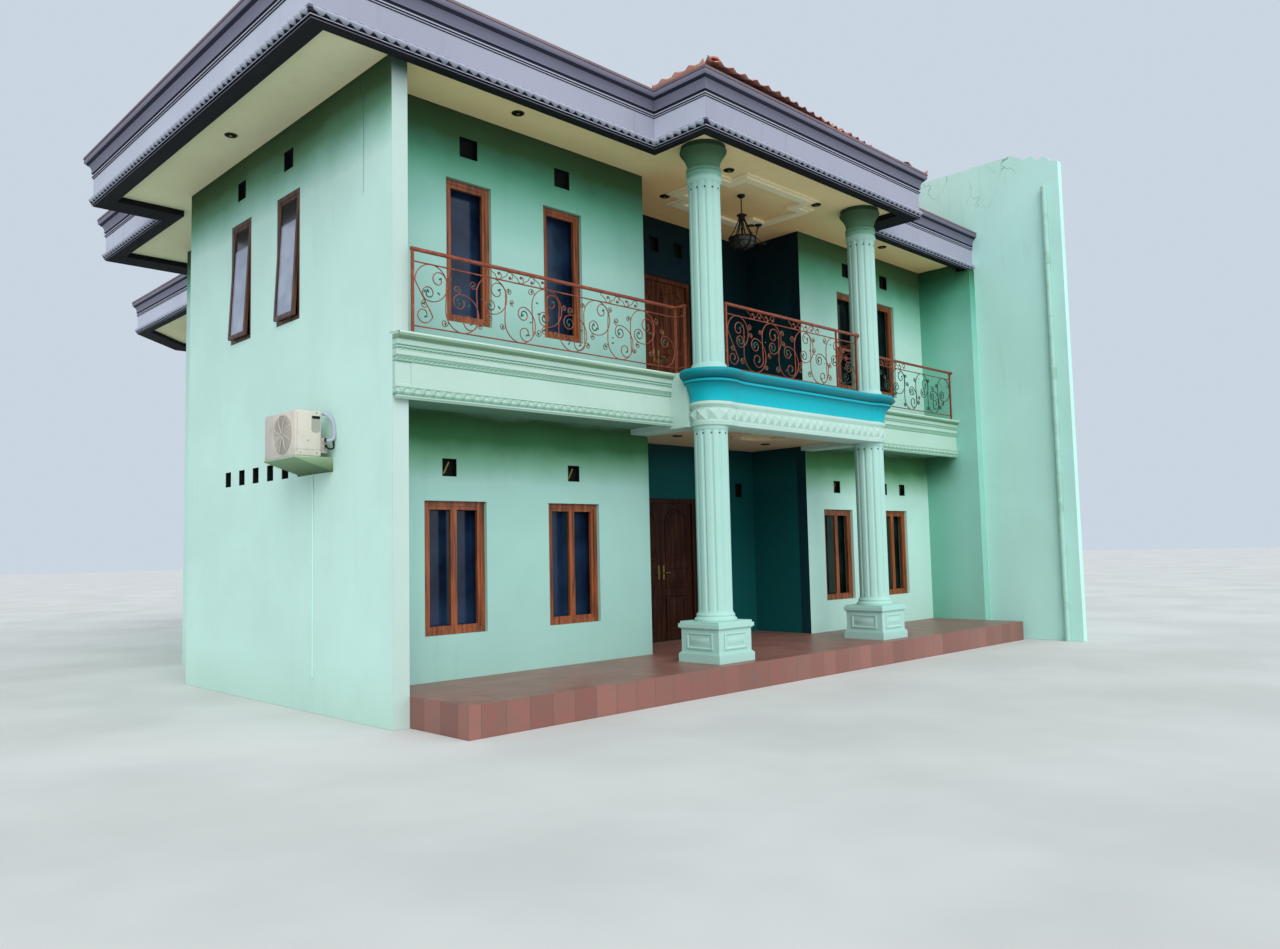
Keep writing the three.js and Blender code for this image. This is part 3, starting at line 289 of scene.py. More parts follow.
# The house's walls share one mint paint; its colour is set lighter or darker per wall as painted light and
# painted shade.
MINT = srgb(160, 203, 193)
mint_front = plaster("mint_front", MINT, UNDER_EAVES)
mint_left = plaster("mint_left", srgb(202, 236, 225), UNDER_LEFT_EAVE)
mint_plain = plaster("mint_plain", MINT)
mint_edge = plaster("mint_edge", srgb(178, 204, 192), EDGE_TONES, wobble=0.004)
mint_edge_right = plaster("mint_edge_right", srgb(177, 209, 193), EDGE_TONES, wobble=0.004)
mint_trim = plaster("mint_trim", srgb(180, 209, 198))
mint_column = plaster("mint_column", srgb(170, 209, 199), UNDER_RING, wobble=0.01)
mint_ledge = plaster("mint_ledge", srgb(176, 205, 180), LEDGE_TONES, wobble=0.02)
teal = plaster("teal", srgb(5, 64, 74), RECESS_TONES)
turquoise = plaster("turquoise", srgb(0, 160, 174), BELT_TONES, rough=0.5, wear=0.05, wobble=0.002)
fascia = plaster("fascia", srgb(196, 198, 214), stain=(0.62, 0.64, 0.66), stain_share=0.5, wear=0.04)
crown_grey = plaster("crown_grey", srgb(128, 128, 146), wear=0.06)
slate = plaster("slate", srgb(40, 42, 56), wear=0.1)
white_line = plaster("white_line", srgb(188, 190, 206))
black_band = plaster("black_band", srgb(20, 19, 25), wear=0.1)
teeth_grey = plaster("teeth_grey", srgb(186, 190, 204), TEETH_TONES, wobble=0.002)
pink_edge = plaster("pink_edge", srgb(156, 134, 146), wear=0.12)
roof_sheet = plaster("roof_sheet", srgb(120, 108, 108), ROOF_TONES, wobble=0.0, wear=0.2)
cream_low = plaster("cream_low", srgb(206, 186, 150))
# cream_ring is a lighter copy of the ceiling cream, as painted light on the ring under the porch ceiling.
cream_ring = plaster("cream_ring", srgb(255, 238, 200))
concrete = plaster("concrete", srgb(150, 148, 140), wear=0.12)
# dark_hole colours the cooler's feet, screws, valve caps and thin pipe, and is painted shade inside the
# vents, the columns' dimples, the ceiling lights' hollows and the cooler's grip slot.
dark_hole = plaster("dark_hole", srgb(12, 16, 16), wear=0.3)
window_wood = timber("window_wood", srgb(84, 38, 14), srgb(164, 86, 38))
side_wood = timber("side_wood", srgb(46, 24, 14), srgb(104, 62, 40))
iron = metal("iron", srgb(134, 62, 40), srgb(186, 108, 76), 0.6)
iron_dark = metal("iron_dark", srgb(44, 50, 40), srgb(112, 70, 48), 0.6)
leaf = metal("leaf", srgb(8, 72, 58), srgb(44, 132, 104), 0.5, metallic=0.1)
bronze = metal("bronze", srgb(20, 17, 15), srgb(56, 42, 32), 0.5, 0.45, 0.5)
casing = metal("casing", srgb(210, 202, 190), srgb(184, 174, 152), 0.6, 0.5, 0.0, 5)
casing_shade = metal("casing_shade", srgb(160, 160, 148), srgb(138, 136, 122), 0.5, 0.6, 0.0, 5)
pipe_look = metal("pipe_look", srgb(168, 210, 198), srgb(120, 160, 140), 0.6, 0.6, 0.0, 4)
brass = metal("brass", srgb(120, 100, 50), srgb(190, 165, 90), 0.6, 0.35, 0.6)


def painted_shade_in_front(look, share):
    """Painted shade on the faces towards the front, which turn darker"""
    front = look.remap(look.facing("Y"), -0.3, -0.8)
    look.colour(look.tint(front, look.tone, (share, share, share * 1.03)))


def door_look():
    """Door timber, much darker on the ground floor than above"""
    look = timber("door_wood", srgb(60, 26, 14), srgb(122, 66, 38), 0.5, 0.12)
    low = look.band("Z", 3.4, 3.6, 1.0, 0.0)
    return look.colour(look.tint(low, look.tone, (0.3, 0.3, 0.3)))


def right_wall_look():
    """Right wall paint: painted shade under the balcony and in the inner corner, and painted light on its
    paler front end
    """
    look = plaster("mint_right", srgb(150, 208, 194), RIGHT_WALL_TONES)
    inner = look.plus(look.band("Y", -7.3, -6.55), look.remap(look.noise(1.5, 2), 0.3, 0.7, -0.04, 0.04))
    tone = look.tint(look.times(inner, 0.75), look.tone, (0.5, 0.72, 0.62))
    under = look.times(look.band("Z", 2.7, 3.42), look.band("Z", 3.6, 3.46), look.band("Y", -7.3, -6.9))
    tone = look.tint(under, tone, (0.25, 0.38, 0.24))
    end = look.band("Y", -7.61, -7.58, 1.0, 0.0)
    return look.colour(look.mix(end, tone, srgb(172, 222, 206)))


def front_right_look():
    """Front wall paint right of the porch, set lighter than the front wall left of it as painted light, with
    the recess colour on the end inside the recess
    """
    look = plaster("mint_front_right", srgb(188, 228, 216), UNDER_EAVES)
    end = look.times(look.remap(look.facing("X"), -0.8, -0.9), look.band("X", 3.0, 2.9))
    recess = look.mix(look.band("Z", 3.4, 3.6, 1.0, 0.0), srgb(3, 30, 42), srgb(6, 50, 58))
    return look.colour(look.mix(end, look.tone, recess))


def party_look():
    """Neighbouring wall: stained, with fine cracks and bare patches near its top"""
    look = plaster("mint_party", srgb(192, 236, 226), stain_share=0.35, stain=(0.62, 0.7, 0.56))
    wave = look.node("ShaderNodeTexNoise", {"Vector": look.where, "Scale": 3.0}).outputs["Color"]
    shift = look.node("ShaderNodeVectorMath", {0: wave, "Scale": 0.45}, operation="SCALE").outputs["Vector"]
    place = look.node("ShaderNodeVectorMath", {0: look.where, 1: shift}, operation="ADD").outputs["Vector"]
    place = look.node("ShaderNodeMapping", {"Vector": place, "Scale": (1, 1, 0.8)}).outputs["Vector"]
    cells = look.node("ShaderNodeTexVoronoi", {"Vector": place, "Scale": 1.5}, feature="DISTANCE_TO_EDGE")
    crack = look.remap(cells.outputs["Distance"], 0.006, 0.016, 1.0, 0.0)
    crack = look.times(crack, look.band("Z", 7.9, 9.4), look.blotches(1.2, 2, 0.42, 0.6), 0.75)
    tone = look.mix(crack, look.tone, srgb(84, 96, 84))
    bare = look.times(look.remap(look.noise(2.6, 5, 0.7), 0.5, 0.56), look.band("Z", 9.25, 9.75))
    brick = look.mix(look.noise(14, 3), srgb(150, 128, 96), srgb(216, 206, 186))
    return look.colour(look.mix(bare, tone, brick))


def cream_look():
    """Cream ceiling paint, warmer over the front and the porch than along the left side"""
    look = plaster("cream", srgb(252, 224, 170), stain=(0.7, 0.62, 0.45), stain_share=0.3)
    cool = look.maths("SUBTRACT", 1.0, look.times(look.band("X", -5.9, -5.4), look.band("Y", -4.8, -5.2)))
    tone = look.tint(cool, look.tone, (0.74, 0.9, 1.08))
    deep = look.times(look.band("Y", -7.4, -6.6), look.band("X", -1.5, -0.9))
    return look.colour(look.tint(deep, tone, (0.98, 0.82, 0.72)))


def left_wall_look():
    """Left wall paint with a hairline crack under the eave. Its front end is left out of the painted shade
    under the eave, and has painted shade of its own just below the eave.
    """
    look = plaster("mint_wall", srgb(202, 236, 225), UNDER_LEFT_EAVE)
    bright = look.mix(look.blotches(0.7), srgb(184, 206, 198), srgb(190, 211, 203))
    bright = look.mix(look.band("Z", 6.9, 7.1), bright, srgb(60, 90, 74))
    tone = look.mix(look.band("Y", -7.226, -7.224, 1.0, 0.0), look.tone, bright)
    bend = look.remap(look.noise(2.2, 3), 0.2, 0.8, -0.012, 0.012)
    away = look.maths("ABSOLUTE", look.plus(look.axis("Y"), bend))
    away = look.maths("ABSOLUTE", look.maths("SUBTRACT", away, CRACK_Y))
    span = look.times(look.band("Z", 5.75, 5.85), look.band("Z", 7.15, 7.05))
    crack = look.times(look.remap(away, 0.004, 0.012, 1.0, 0.0), span, 0.55)
    return look.colour(look.mix(crack, tone, srgb(60, 96, 80)))


def glass_look():
    """Dark glass with a faint uneven sheen, blue at the left and green at the right"""
    look = Look("glass", 0.08, specular=0.35)
    haze = look.noise(1.6, 3)
    share = look.remap(haze, 0.3, 0.7)
    blue = look.mix(share, srgb(10, 24, 44), srgb(30, 52, 80))
    green = look.mix(share, srgb(6, 16, 15), srgb(26, 46, 42))
    look.colour(look.mix(look.band("X", 0.4, 0.6), blue, green))
    return look.rough(look.remap(haze, 0.3, 0.7, 0.06, 0.16))


def pane_reflection_look():
    """Glass pane with a painted reflection: pale, and darker at its top"""
    look = Look("pane", 0.12)
    pale = look.mix(look.blotches(2.5, 2), srgb(140, 150, 172), srgb(172, 180, 196))
    return look.colour(look.mix(look.band("Z", 5.93, 5.97), pale, srgb(48, 48, 46)))


def bowl_look():
    """Lamp glass, unlit, dark with lighter blotches as painted highlights"""
    look = Look("bowl", 0.3)
    return look.colour(look.mix(look.blotches(20, 2), srgb(26, 25, 23), srgb(70, 66, 60)))


def clay_look(name, dark, light, moss):
    """Fired clay, a tone for each tile, with weathered and mossy patches"""
    look = Look(name, 0.85, specular=0.2)
    cells = look.node("ShaderNodeTexVoronoi", {"Vector": look.where, "Scale": 4.2})
    tone = look.mix(look.remap(cells.outputs["Color"], 0.2, 0.8), dark, light)
    grime = look.times(look.remap(look.noise(1.1, 5, 0.7), 0.45, 0.75), 0.7)
    look.bump(look.noise(90, 3, 0.7), 0.002, 0.6)
    return look.colour(look.mix(grime, tone, moss))


def floor_look():
    """Square floor tiles with thin joints"""
    look = Look("floor_tiles", 0.4)
    inputs = {
        "Vector": look.where, "Scale": 1.0, "Brick Width": 0.3, "Row Height": 0.3, "Mortar Size": 0.004,
        "Color1": srgb(150, 100, 88), "Color2": srgb(132, 84, 74), "Mortar": srgb(96, 86, 80),
    }
    brick = look.node("ShaderNodeTexBrick", inputs, offset=0.0, squash=1.0)
    patches = look.noise(5, 3)
    worn = look.times(look.remap(patches, 0.4, 0.8), 0.4)
    look.bump(look.maths("SUBTRACT", look.times(patches, 0.2), brick.outputs["Fac"]), 0.002, 0.5)
    return look.colour(look.mix(worn, brick.outputs["Color"], srgb(110, 96, 88)))


for look, share in ((fascia, 0.63), (crown_grey, 0.75), (white_line, 0.8), (teeth_grey, 0.85)):
    painted_shade_in_front(look, share)


door_wood = door_look()
mint_right = right_wall_look()
mint_front_right = front_right_look()
mint_party = party_look()
mint_wall = left_wall_look()
cream = cream_look()
glass = glass_look()
pane = pane_reflection_look()
bowl = bowl_look()
clay = clay_look("clay", srgb(196, 130, 114), srgb(232, 172, 154), srgb(166, 134, 124))
clay_edge = clay_look("clay_edge", srgb(196, 126, 108), srgb(226, 170, 150), srgb(160, 112, 96))
floor_tiles = floor_look()


def circle(count, start=0.0):
    """The cosine and sine of equal steps round a circle"""
    turns = [start + k * math.tau / count for k in range(count)]
    return [(math.cos(turn), math.sin(turn)) for turn in turns]


def upright(z):
    return Vector((0, 0, z))


class Shape:
    """Gathers corners and faces in house coordinates, then makes one piece of them"""

    def __init__(self):
        self.points = []
        self.faces = []
        self.looks = []

    def add(self, points, faces, look=0):
        start = len(self.points)
        self.points.extend(points)
        self.faces.extend(tuple(start + i for i in face) for face in faces)
        self.looks.extend([look] * len(faces))

    def box(self, x0, x1, y0, y1, z0, z1, look=0):
        points = [(x, y, z) for z in (z0, z1) for y in (y0, y1) for x in (x0, x1)]
        faces = [(0, 2, 3, 1), (4, 5, 7, 6), (0, 1, 5, 4), (2, 6, 7, 3), (0, 4, 6, 2), (1, 3, 7, 5)]
        self.add(points, faces, look)

    def grid(self, rows, look=0, round_rows=False, caps=False):
        """Joins rows of points. round_rows closes each row on itself, caps closes the first and last row."""
        width = len(rows[0])
        start = len(self.points)
        looks = look if isinstance(look, (list, tuple)) else [look] * width
        for row in rows:
            self.points.extend(row)
        for i in range(len(rows) - 1):
            for j in range(width if round_rows else width - 1):
                a, b = start + i * width + j, start + i * width + (j + 1) % width
                self.faces.append((a, b, b + width, a + width))
                self.looks.append(looks[j])
        if caps:
            last = start + (len(rows) - 1) * width
            self.faces.append(tuple(range(start, start + width)))
            self.faces.append(tuple(range(last, last + width)))
            self.looks.extend([looks[0]] * 2)

    def solid(self, rows, look=0):
        """A closed skin over rows of points that are closed on themselves"""
        self.grid(rows, look, round_rows=True, caps=True)

    def tube(self, path, radius, sides=6, look=0, closed=False):
        """A round bar along a path. The radius is one number."""
        points = [Vector(p) for p in path]
        count = len(points)
        side = None
        rows = []
        for i, point in enumerate(points):
            if closed:
                run = points[(i + 1) % count] - points[i - 1]
            else:
                run = points[min(i + 1, count - 1)] - points[max(i - 1, 0)]
            run.normalize()
            if side is None:
                side = run.cross(Vector((0.3, 0.2, 1))).normalized()
            side = (side - run * side.dot(run)).normalized()
            other = run.cross(side)
            rows.append([tuple(point + (side * c + other * s) * radius) for c, s in circle(sides)])
        if closed:
            rows.append(rows[0])
        self.grid(rows, look, round_rows=True, caps=not closed)

    def lathe(self, profile, x, y, segments=32, look=0):
        """Turns (radius, height) points round an upright axis"""
        for pair in zip(profile, profile[1:]):
            rows = [[(x + r * c, y + r * s, z) for c, s in circle(segments)] for r, z in pair]
            self.grid(rows, look, round_rows=True)

    def sweep(self, profile, path, looks):
        """Mitred sweep of a closed profile (outward offset, height) along a plan path, outward on its left"""
        left = []
        for (ax, ay), (bx, by) in zip(path, path[1:]):
            length = math.hypot(bx - ax, by - ay)
            left.append(Vector((-(by - ay) / length, (bx - ax) / length)))
        rows = []
        for i, (x, y) in enumerate(path):
            a, b = left[max(i - 1, 0)], left[min(i, len(left) - 1)]
            mitre = (a + b) / (1 + a.dot(b))
            rows.append([(x + mitre.x * o, y + mitre.y * o, z) for o, z in profile])
        self.solid(rows, looks)

    def piece(self, name, looks, replaced=(), smooth=35, weld=0.0):
        mesh = bpy.data.meshes.new(name)
        mesh.from_pydata([Vector(p) - CENTRE for p in self.points], [], self.faces)
        for look in looks:
            mesh.materials.append(look.material)
        mesh.polygons.foreach_set("material_index", self.looks)
        body = bmesh.new()
        body.from_mesh(mesh)
        if weld:
            bmesh.ops.remove_doubles(body, verts=body.verts, dist=weld)
        bmesh.ops.recalc_face_normals(body, faces=body.faces)
        body.to_mesh(mesh)
        body.free()
        return ride(name, mesh, replaced, smooth)


def ride(name, mesh, replaced=(), smooth=35):
    """Puts a finished mesh into the scene as a piece of the house"""
    mesh.polygons.foreach_set("use_smooth", [True] * len(mesh.polygons))
    mesh.set_sharp_from_angle(angle=math.radians(smooth))
    made = bpy.data.objects.new(name, mesh)
    bpy.context.scene.collection.objects.link(made)
    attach(made, "root")
    if replaced:
        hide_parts(*replaced)
    return made


# Camera
def place_camera():
    ahead = Vector((math.sin(YAW) * math.cos(PITCH), math.cos(YAW) * math.cos(PITCH), math.sin(PITCH)))
    level = Vector((math.cos(YAW), -math.sin(YAW), 0))
    above = level.cross(ahead)
    right = math.cos(ROLL) * level + math.sin(ROLL) * above
    up = -math.sin(ROLL) * level + math.cos(ROLL) * above
    data = bpy.data.cameras.new("camera")
    data.sensor_width = 36
    data.lens = LENS
    camera = bpy.data.objects.new("camera", data)
    bpy.context.scene.collection.objects.link(camera)
    turn = Matrix((right, up, -ahead)).transposed().to_4x4()
    camera.matrix_world = Matrix.Translation(CAMERA - CENTRE) @ turn
    bpy.context.scene.camera = camera


place_camera()


# Eaves: moulded fascia with a crown above and a row of slanted teeth below
FASCIA, CROWN, SLATE, WHITE, BLACK, EDGE = range(6)
# Black and slate faces from 7.07 to 7.12, behind the teeth, and slate faces from 7.652 to 7.682, under the
# crown's nose, are painted shade.
EAVE_SECTION = [
    (-0.25, 7.1, BLACK), (0.004, 7.036, CROWN), (0.004, 7.044, BLACK), (0.004, 7.058, BLACK),
    (0.022, 7.06, WHITE), (0.022, 7.07, BLACK), (0.022, 7.084, BLACK), (0.034, 7.09, SLATE),
    (0.034, 7.112, SLATE), (0.044, 7.12, CROWN), (0.05, 7.135, CROWN), (0.046, 7.15, FASCIA),
    (0.0, 7.185, FASCIA), (0.0, 7.448, BLACK), (0.006, 7.45, SLATE), (0.012, 7.456, WHITE),
    (0.012, 7.468, SLATE), (0.018, 7.47, SLATE), (0.024, 7.48, WHITE), (0.024, 7.494, SLATE),
    (0.01, 7.505, SLATE), (0.01, 7.526, SLATE), (0.026, 7.532, CROWN), (0.03, 7.545, CROWN),
    (0.028, 7.557, SLATE), (0.022, 7.562, CROWN), (0.025, 7.585, CROWN), (0.032, 7.61, CROWN),
    (0.044, 7.634, CROWN), (0.06, 7.652, SLATE), (0.078, 7.664, SLATE), (0.08, 7.676, SLATE),
    (0.094, 7.682, CROWN), (0.104, 7.694, CROWN), (0.108, 7.712, CROWN), (0.108, 7.738, EDGE),
    (0.1, 7.75, EDGE), (-0.09, 7.75, EDGE), (-0.09, 7.64, EDGE), (-0.04, 7.6, EDGE), (-0.04, 7.1897, BLACK),
    (-0.25, 7.1897, BLACK),
]
# Teeth below the eaves. A ring is a share of the height, a share of the pitch, and how far it stands out.
TOOTH_PITCH = 0.13
TOOTH_FOOT = 7.07
TOOTH_TALL = 0.072
TOOTH_LEAN = 0.045
TOOTH_BACK = 0.02
TOOTH_RINGS = [
    (0.0, 0.12, 0.036), (0.2, 0.42, 0.05), (0.45, 0.8, 0.06), (0.62, 0.99, 0.066), (0.85, 0.995, 0.064),
    (1.0, 0.995, 0.05),
]


def tooth(shape, start, run, out):
    """A slanted drop: as wide as its pitch above, pointed at its foot, and rounded outwards"""
    rows = []
    for rise, width, reach in TOOTH_RINGS:
        bow = 0.014 * (1 - 0.5 * rise)
        line = [(u, reach - bow * (2 * u) ** 2) for u in (-0.5, -0.25, 0.0, 0.25, 0.5)]
        row = []
        for u, stand in line + [(0.5, TOOTH_BACK), (-0.5, TOOTH_BACK)]:
            place = start + run * (TOOTH_LEAN * rise + u * width * TOOTH_PITCH) + out * stand
            row.append((place.x, place.y, TOOTH_FOOT + TOOTH_TALL * rise))
        rows.append(row)
    shape.solid(rows)


def build_eaves():
    shape = Shape()
    shape.sweep([(o, z) for o, z, _ in EAVE_SECTION], EAVES, [look for _, _, look in EAVE_SECTION])
    looks = [fascia, crown_grey, slate, white_line, black_band, pink_edge]
    shape.piece("eaves", looks, ["eave_fascia"], smooth=28)
    teeth = Shape()
    for start, end in zip(EAVES, EAVES[1:]):
        run = Vector(end) - Vector(start)
        count = round(run.length / TOOTH_PITCH)
        step = run / count
        run.normalize()
        for k in range(count):
            tooth(teeth, Vector(start) + step * (k + 0.25), run, Vector((-run.y, run.x)))
    teeth.piece("eave_teeth", [teeth_grey], smooth=50)


def build_end_board():
    """Board that closes the hollow eave behind the end of the party wall"""
    front, rear = PARTY_END_Y - 0.1, EAVES[-1][1] - 0.045
    outline = [(front, 7.241), (rear, 7.241), (rear, 7.6), (rear - 0.05, 7.638), (front, 7.655)]
    board = Shape()
    board.solid([[(EAVE_END - back, y, z) for y, z in outline] for back in (0.024, 0.012)])
    board.piece("eave_end_board", [fascia], smooth=10)


build_eaves()
build_end_board()


# Roof: clay tiles laid on each slope of the sheet, with half-round caps along hips and ridges
TILE_WIDTH = 0.24
TILE_LENGTH = 0.33
TILE_STEPS = 6
TILE_THICK = 0.026
TILE_NOSE = 0.012
PORCH_LIFT = 0.035


def slopes_of(node):
    """The upward triangles of a roof sheet, gathered by slope"""
    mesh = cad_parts[node].data
    mesh.calc_loop_triangles()
    groups = {}
    for triangle in mesh.loop_triangles:
        normal = triangle.normal
        if normal.z > 0.5:
            key = (round(normal.x, 1), round(normal.y, 1))
            groups.setdefault(key, []).append([Vector(mesh.vertices[i].co) for i in triangle.vertices])
    return list(groups.values())


def twice_area(triangle):
    a, b, c = triangle
    return (b - a).cross(c - a)


def inside(triangles, x, y):
    """Whether a plan point lies in any of the triangles"""
    a, b, c = triangles[:, 0], triangles[:, 1], triangles[:, 2]

    def turn(p, q):
        return (q[:, 0] - p[:, 0]) * (y - p[:, 1]) - (q[:, 1] - p[:, 1]) * (x - p[:, 0])

    signs = np.stack([turn(a, b), turn(b, c), turn(c, a)])
    return bool(np.any(np.all(signs > -0.02, axis=0) | np.all(signs < 0.02, axis=0)))


class Slope:
    """One slope of a roof sheet, in the frame's coordinates, with level and upward directions of its own"""

    def __init__(self, node, triangles):
        self.triangles = [t for t in triangles if twice_area(t).length > 1e-6]
        self.normal = sum((twice_area(t) for t in self.triangles), Vector()).normalized()
        self.across = upright(1).cross(self.normal).normalized()
        self.upward = self.normal.cross(self.across).normalized()
        self.origin = self.triangles[0][0]
        self.corners = [p for t in self.triangles for p in t]
        level = [(p - self.origin).dot(self.across) for p in self.corners]
        height = [(p - self.origin).dot(self.upward) for p in self.corners]
        self.left, self.right = min(level), max(level)
        self.start, self.end = min(height) + self.set_back(node), max(height)
        self.lift = PORCH_LIFT if node == "roof_porch" and self.normal.y < -0.3 else 0.0

    def set_back(self, node):
        """How far up the slope the tiles start. A gutter lies before them, except at the porch's front."""
        if node == "roof_porch" and abs(self.normal.x) > 0.3:
            return 0.45 if self.normal.x < 0 else 0.8
        if node == "roof_porch":
            return 0.0
        if self.normal.y < -0.3:
            return 0.62
        return 0.03 if node.startswith("roof_front") else 0.5

    def courses(self):
        """Wavy courses of tiles over the whole slope, each laid over the one below"""
        columns = math.ceil((self.right - self.left) / TILE_WIDTH) * TILE_STEPS + 1
        place = np.arange(columns) * (TILE_WIDTH / TILE_STEPS)
        turn = place / TILE_WIDTH * math.tau
        wave = 0.018 + 0.018 * np.cos(turn) + 0.006 * np.cos(2 * turn)
        foot, top = wave + self.lift + 0.004, wave + self.lift + 0.004 + TILE_THICK
        lines = [(self.start - TILE_NOSE, wave * 0.2 - 0.04), (self.start - TILE_NOSE, top)]
        for course in range(1, math.ceil((self.end - self.start) / TILE_LENGTH) + 1):
            at = self.start + course * TILE_LENGTH
            lines += [(at, foot), (at - TILE_NOSE, top)]
        points = []
        for at, height in lines:
            base = np.array(self.origin) + np.array(self.upward) * at
            level = np.outer(self.left + place, np.array(self.across))
            points.extend(base + level + np.outer(height, np.array(self.normal)))
        starts = [row * columns + column for row in range(len(lines) - 1) for column in range(columns - 1)]
        mesh = bpy.data.meshes.new("slope")
        mesh.from_pydata(points, [], [(a, a + 1, a + 1 + columns, a + columns) for a in starts])
        # The risers show the clay's edge
        mesh.polygons.foreach_set("material_index", [int(a // columns % 2 == 0) for a in starts])
        return mesh

    def outer_edges(self):
        """The edges that one triangle has alone, without tiny ones"""
        edges = {}
        for triangle in self.triangles:
            for a, b in zip(triangle, triangle[1:] + triangle[:1]):
                key = frozenset(tuple(round(x, 3) for x in corner) for corner in (a, b))
                edges.setdefault(key, []).append((a, b))
        alone = [found[0] for found in edges.values() if len(found) == 1]
        return [(a, b) for a, b in alone if (b - a).length >= 0.02]

    def cut(self, body, point, outward, clear=True):
        whole = body.verts[:] + body.edges[:] + body.faces[:]
        plane = {"plane_co": point, "plane_no": outward, "dist": 1e-5}
        bmesh.ops.bisect_plane(body, geom=whole, clear_outer=clear, **plane)

    def trim(self, body):
        """Cuts the courses along the slope's outer edges, except at its foot, and drops what lies outside"""
        for a, b in self.outer_edges():
            side = self.normal.cross(b - a).normalized()
            level = abs(side.dot(self.upward)) > 0.999
            if level and (a - self.origin).dot(self.upward) < self.start + 0.02:
                continue
            reach = [(p - a).dot(side) for p in self.corners]
            flipped = max(reach) < 0.01
            self.cut(body, a, side if flipped else -side, flipped or min(reach) > -0.01)
        if self.lift:
            # The porch's first course sinks out of sight towards the right
            width = self.right - self.left
            foot = self.origin + self.across * (self.left + 0.28 * width) + self.upward * self.start
            side = self.normal.cross(self.across * (0.72 * width) + self.upward * 0.6).normalized()
            self.cut(body, foot, -side)
        plan = np.array([[(p.x, p.y) for p in t] for t in self.triangles])
        outside = []
        for face in body.faces:
            centre = face.calc_center_median()
            foot = centre - self.normal * (centre - self.origin).dot(self.normal)
            if not inside(plan, foot.x, foot.y):
                outside.append(face)
        bmesh.ops.delete(body, geom=outside, context="FACES")

    def tiles(self):
        mesh = self.courses()
        body = bmesh.new()
        body.from_mesh(mesh)
        self.trim(body)
        body.to_mesh(mesh)
        body.free()
        return mesh


def build_roof():
    for node in sorted(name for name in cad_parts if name.startswith("roof_")):
        whole = bmesh.new()
        for triangles in slopes_of(node):
            whole.from_mesh(Slope(node, triangles).tiles())
        mesh = bpy.data.meshes.new("tiles_" + node)
        whole.to_mesh(mesh)
        whole.free()
        mesh.materials.append(clay.material)
        mesh.materials.append(clay_edge.material)
        ride(node.replace("roof_", "tiles_"), mesh, smooth=40)


# Half-round caps: length, overlap, and outer and inner radius at the low and the high end
CAP_LENGTH = 0.34
CAP_LAP = 0.02
CAP_RADII = ((0.108, 0.09), (0.092, 0.076))


def cap_line(shape, start, end):
    """Half-round caps that overlap like scales from the low end up"""
    run = end - start
    count = round(run.length / CAP_LENGTH)
    step = run.length / count
    run.normalize()
    side = run.cross(upright(1)).normalized()
    up = side.cross(run)
    arc = [math.radians(-12 + 204 * k / 10) for k in range(11)]
    for k in range(count):
        places = (start + run * (k * step - CAP_LAP), start + run * ((k + 1) * step + CAP_LAP))
        rows = []
        for place, (outer, inner) in zip(places, CAP_RADII):
            row = []
            for r, a in [(outer, a) for a in arc] + [(inner, a) for a in reversed(arc)]:
                row.append(tuple(place + side * (r * math.cos(a)) + up * (r * math.sin(a) + 0.01)))
            rows.append(row)
        shape.solid(rows)


def build_ridges():
    """Caps on the hips and ridges. A point is its plan place and how far it lies in from the roof's edge."""
    over = ROOF_OVER
    front, rear = EAVES[0][1] - over, EAVES[-1][1] + over
    left_a, rear_a = EAVES[5][0] - over, EAVES[6][1] + over
    left_b, rear_b = EAVES[7][0] - over, EAVES[8][1] + over
    left_c = EAVES[9][0] - over
    porch0, porch1, porch_front = EAVES[3][0] - over, EAVES[2][0] + over, EAVES[2][1] - over
    run_a, run_b = (rear_a - front) / 2, (rear_b - front) / 2
    run_c, run_p = (EAVE_END - left_c) / 2, (porch1 - porch0) / 2
    half = 0.65 + over * (1 - math.sqrt(0.5))
    reach = half * (1 + 1 / math.tan(math.pi / 8))
    corner = (left_c + reach, rear - reach, reach)
    hip_a, meet_a = (left_a + run_a, front + run_a, run_a), (left_b + run_a, front + run_a, run_a)
    hip_b, meet_b = (left_b + run_b, front + run_b, run_b), (left_c + run_b, front + run_b, run_b)
    hip_c, hip_d = (left_c + run_c, front + run_c, run_c), (left_c + run_c, rear - run_c, run_c)
    porch_foot = (porch0, porch_front, 0)
    porch_hip = (porch0 + run_p, porch_front + run_p, run_p)
    porch_meet = (porch0 + run_p, front + run_p, run_p)
    hips = [
        ((left_a, front, 0), hip_a), ((left_a, rear_a, 0), hip_a), ((left_b, rear_b, 0), hip_b),
        ((EAVE_END, front, 0), hip_c), ((EAVE_END, rear, 0), hip_d), ((left_c, rear - 2 * half, 0), corner),
        ((left_c + 2 * half, rear, 0), corner), (porch_foot, porch_hip),
        ((porch1, porch_front, 0), porch_hip),
    ]
    ridges = [
        (hip_a, meet_a), (meet_a, hip_b), (hip_b, meet_b), (meet_b, hip_c), (hip_c, hip_d), (corner, hip_d),
        (porch_hip, porch_meet),
    ]
    shape = Shape()
    for line in hips + ridges:
        start, end = (Vector((x, y, EAVE_TOP + 0.03 + run * PITCH_TAN)) for x, y, run in line)
        ahead = (end - start).normalized()
        if line[0] == porch_foot:
            start += ahead * 0.3 + Vector((0.16, -0.02, 0.06))
        elif line in hips:
            start += ahead * 1.1
        cap_line(shape, start, end)
    shape.piece("roof_caps", [clay_edge], smooth=50)


build_roof()
build_ridges()


# Columns
FLUTE_STEPS = 10
FLUTE_DEPTH = 0.014
FLUTE_END = 0.06
FILLET_SHARE = 0.17


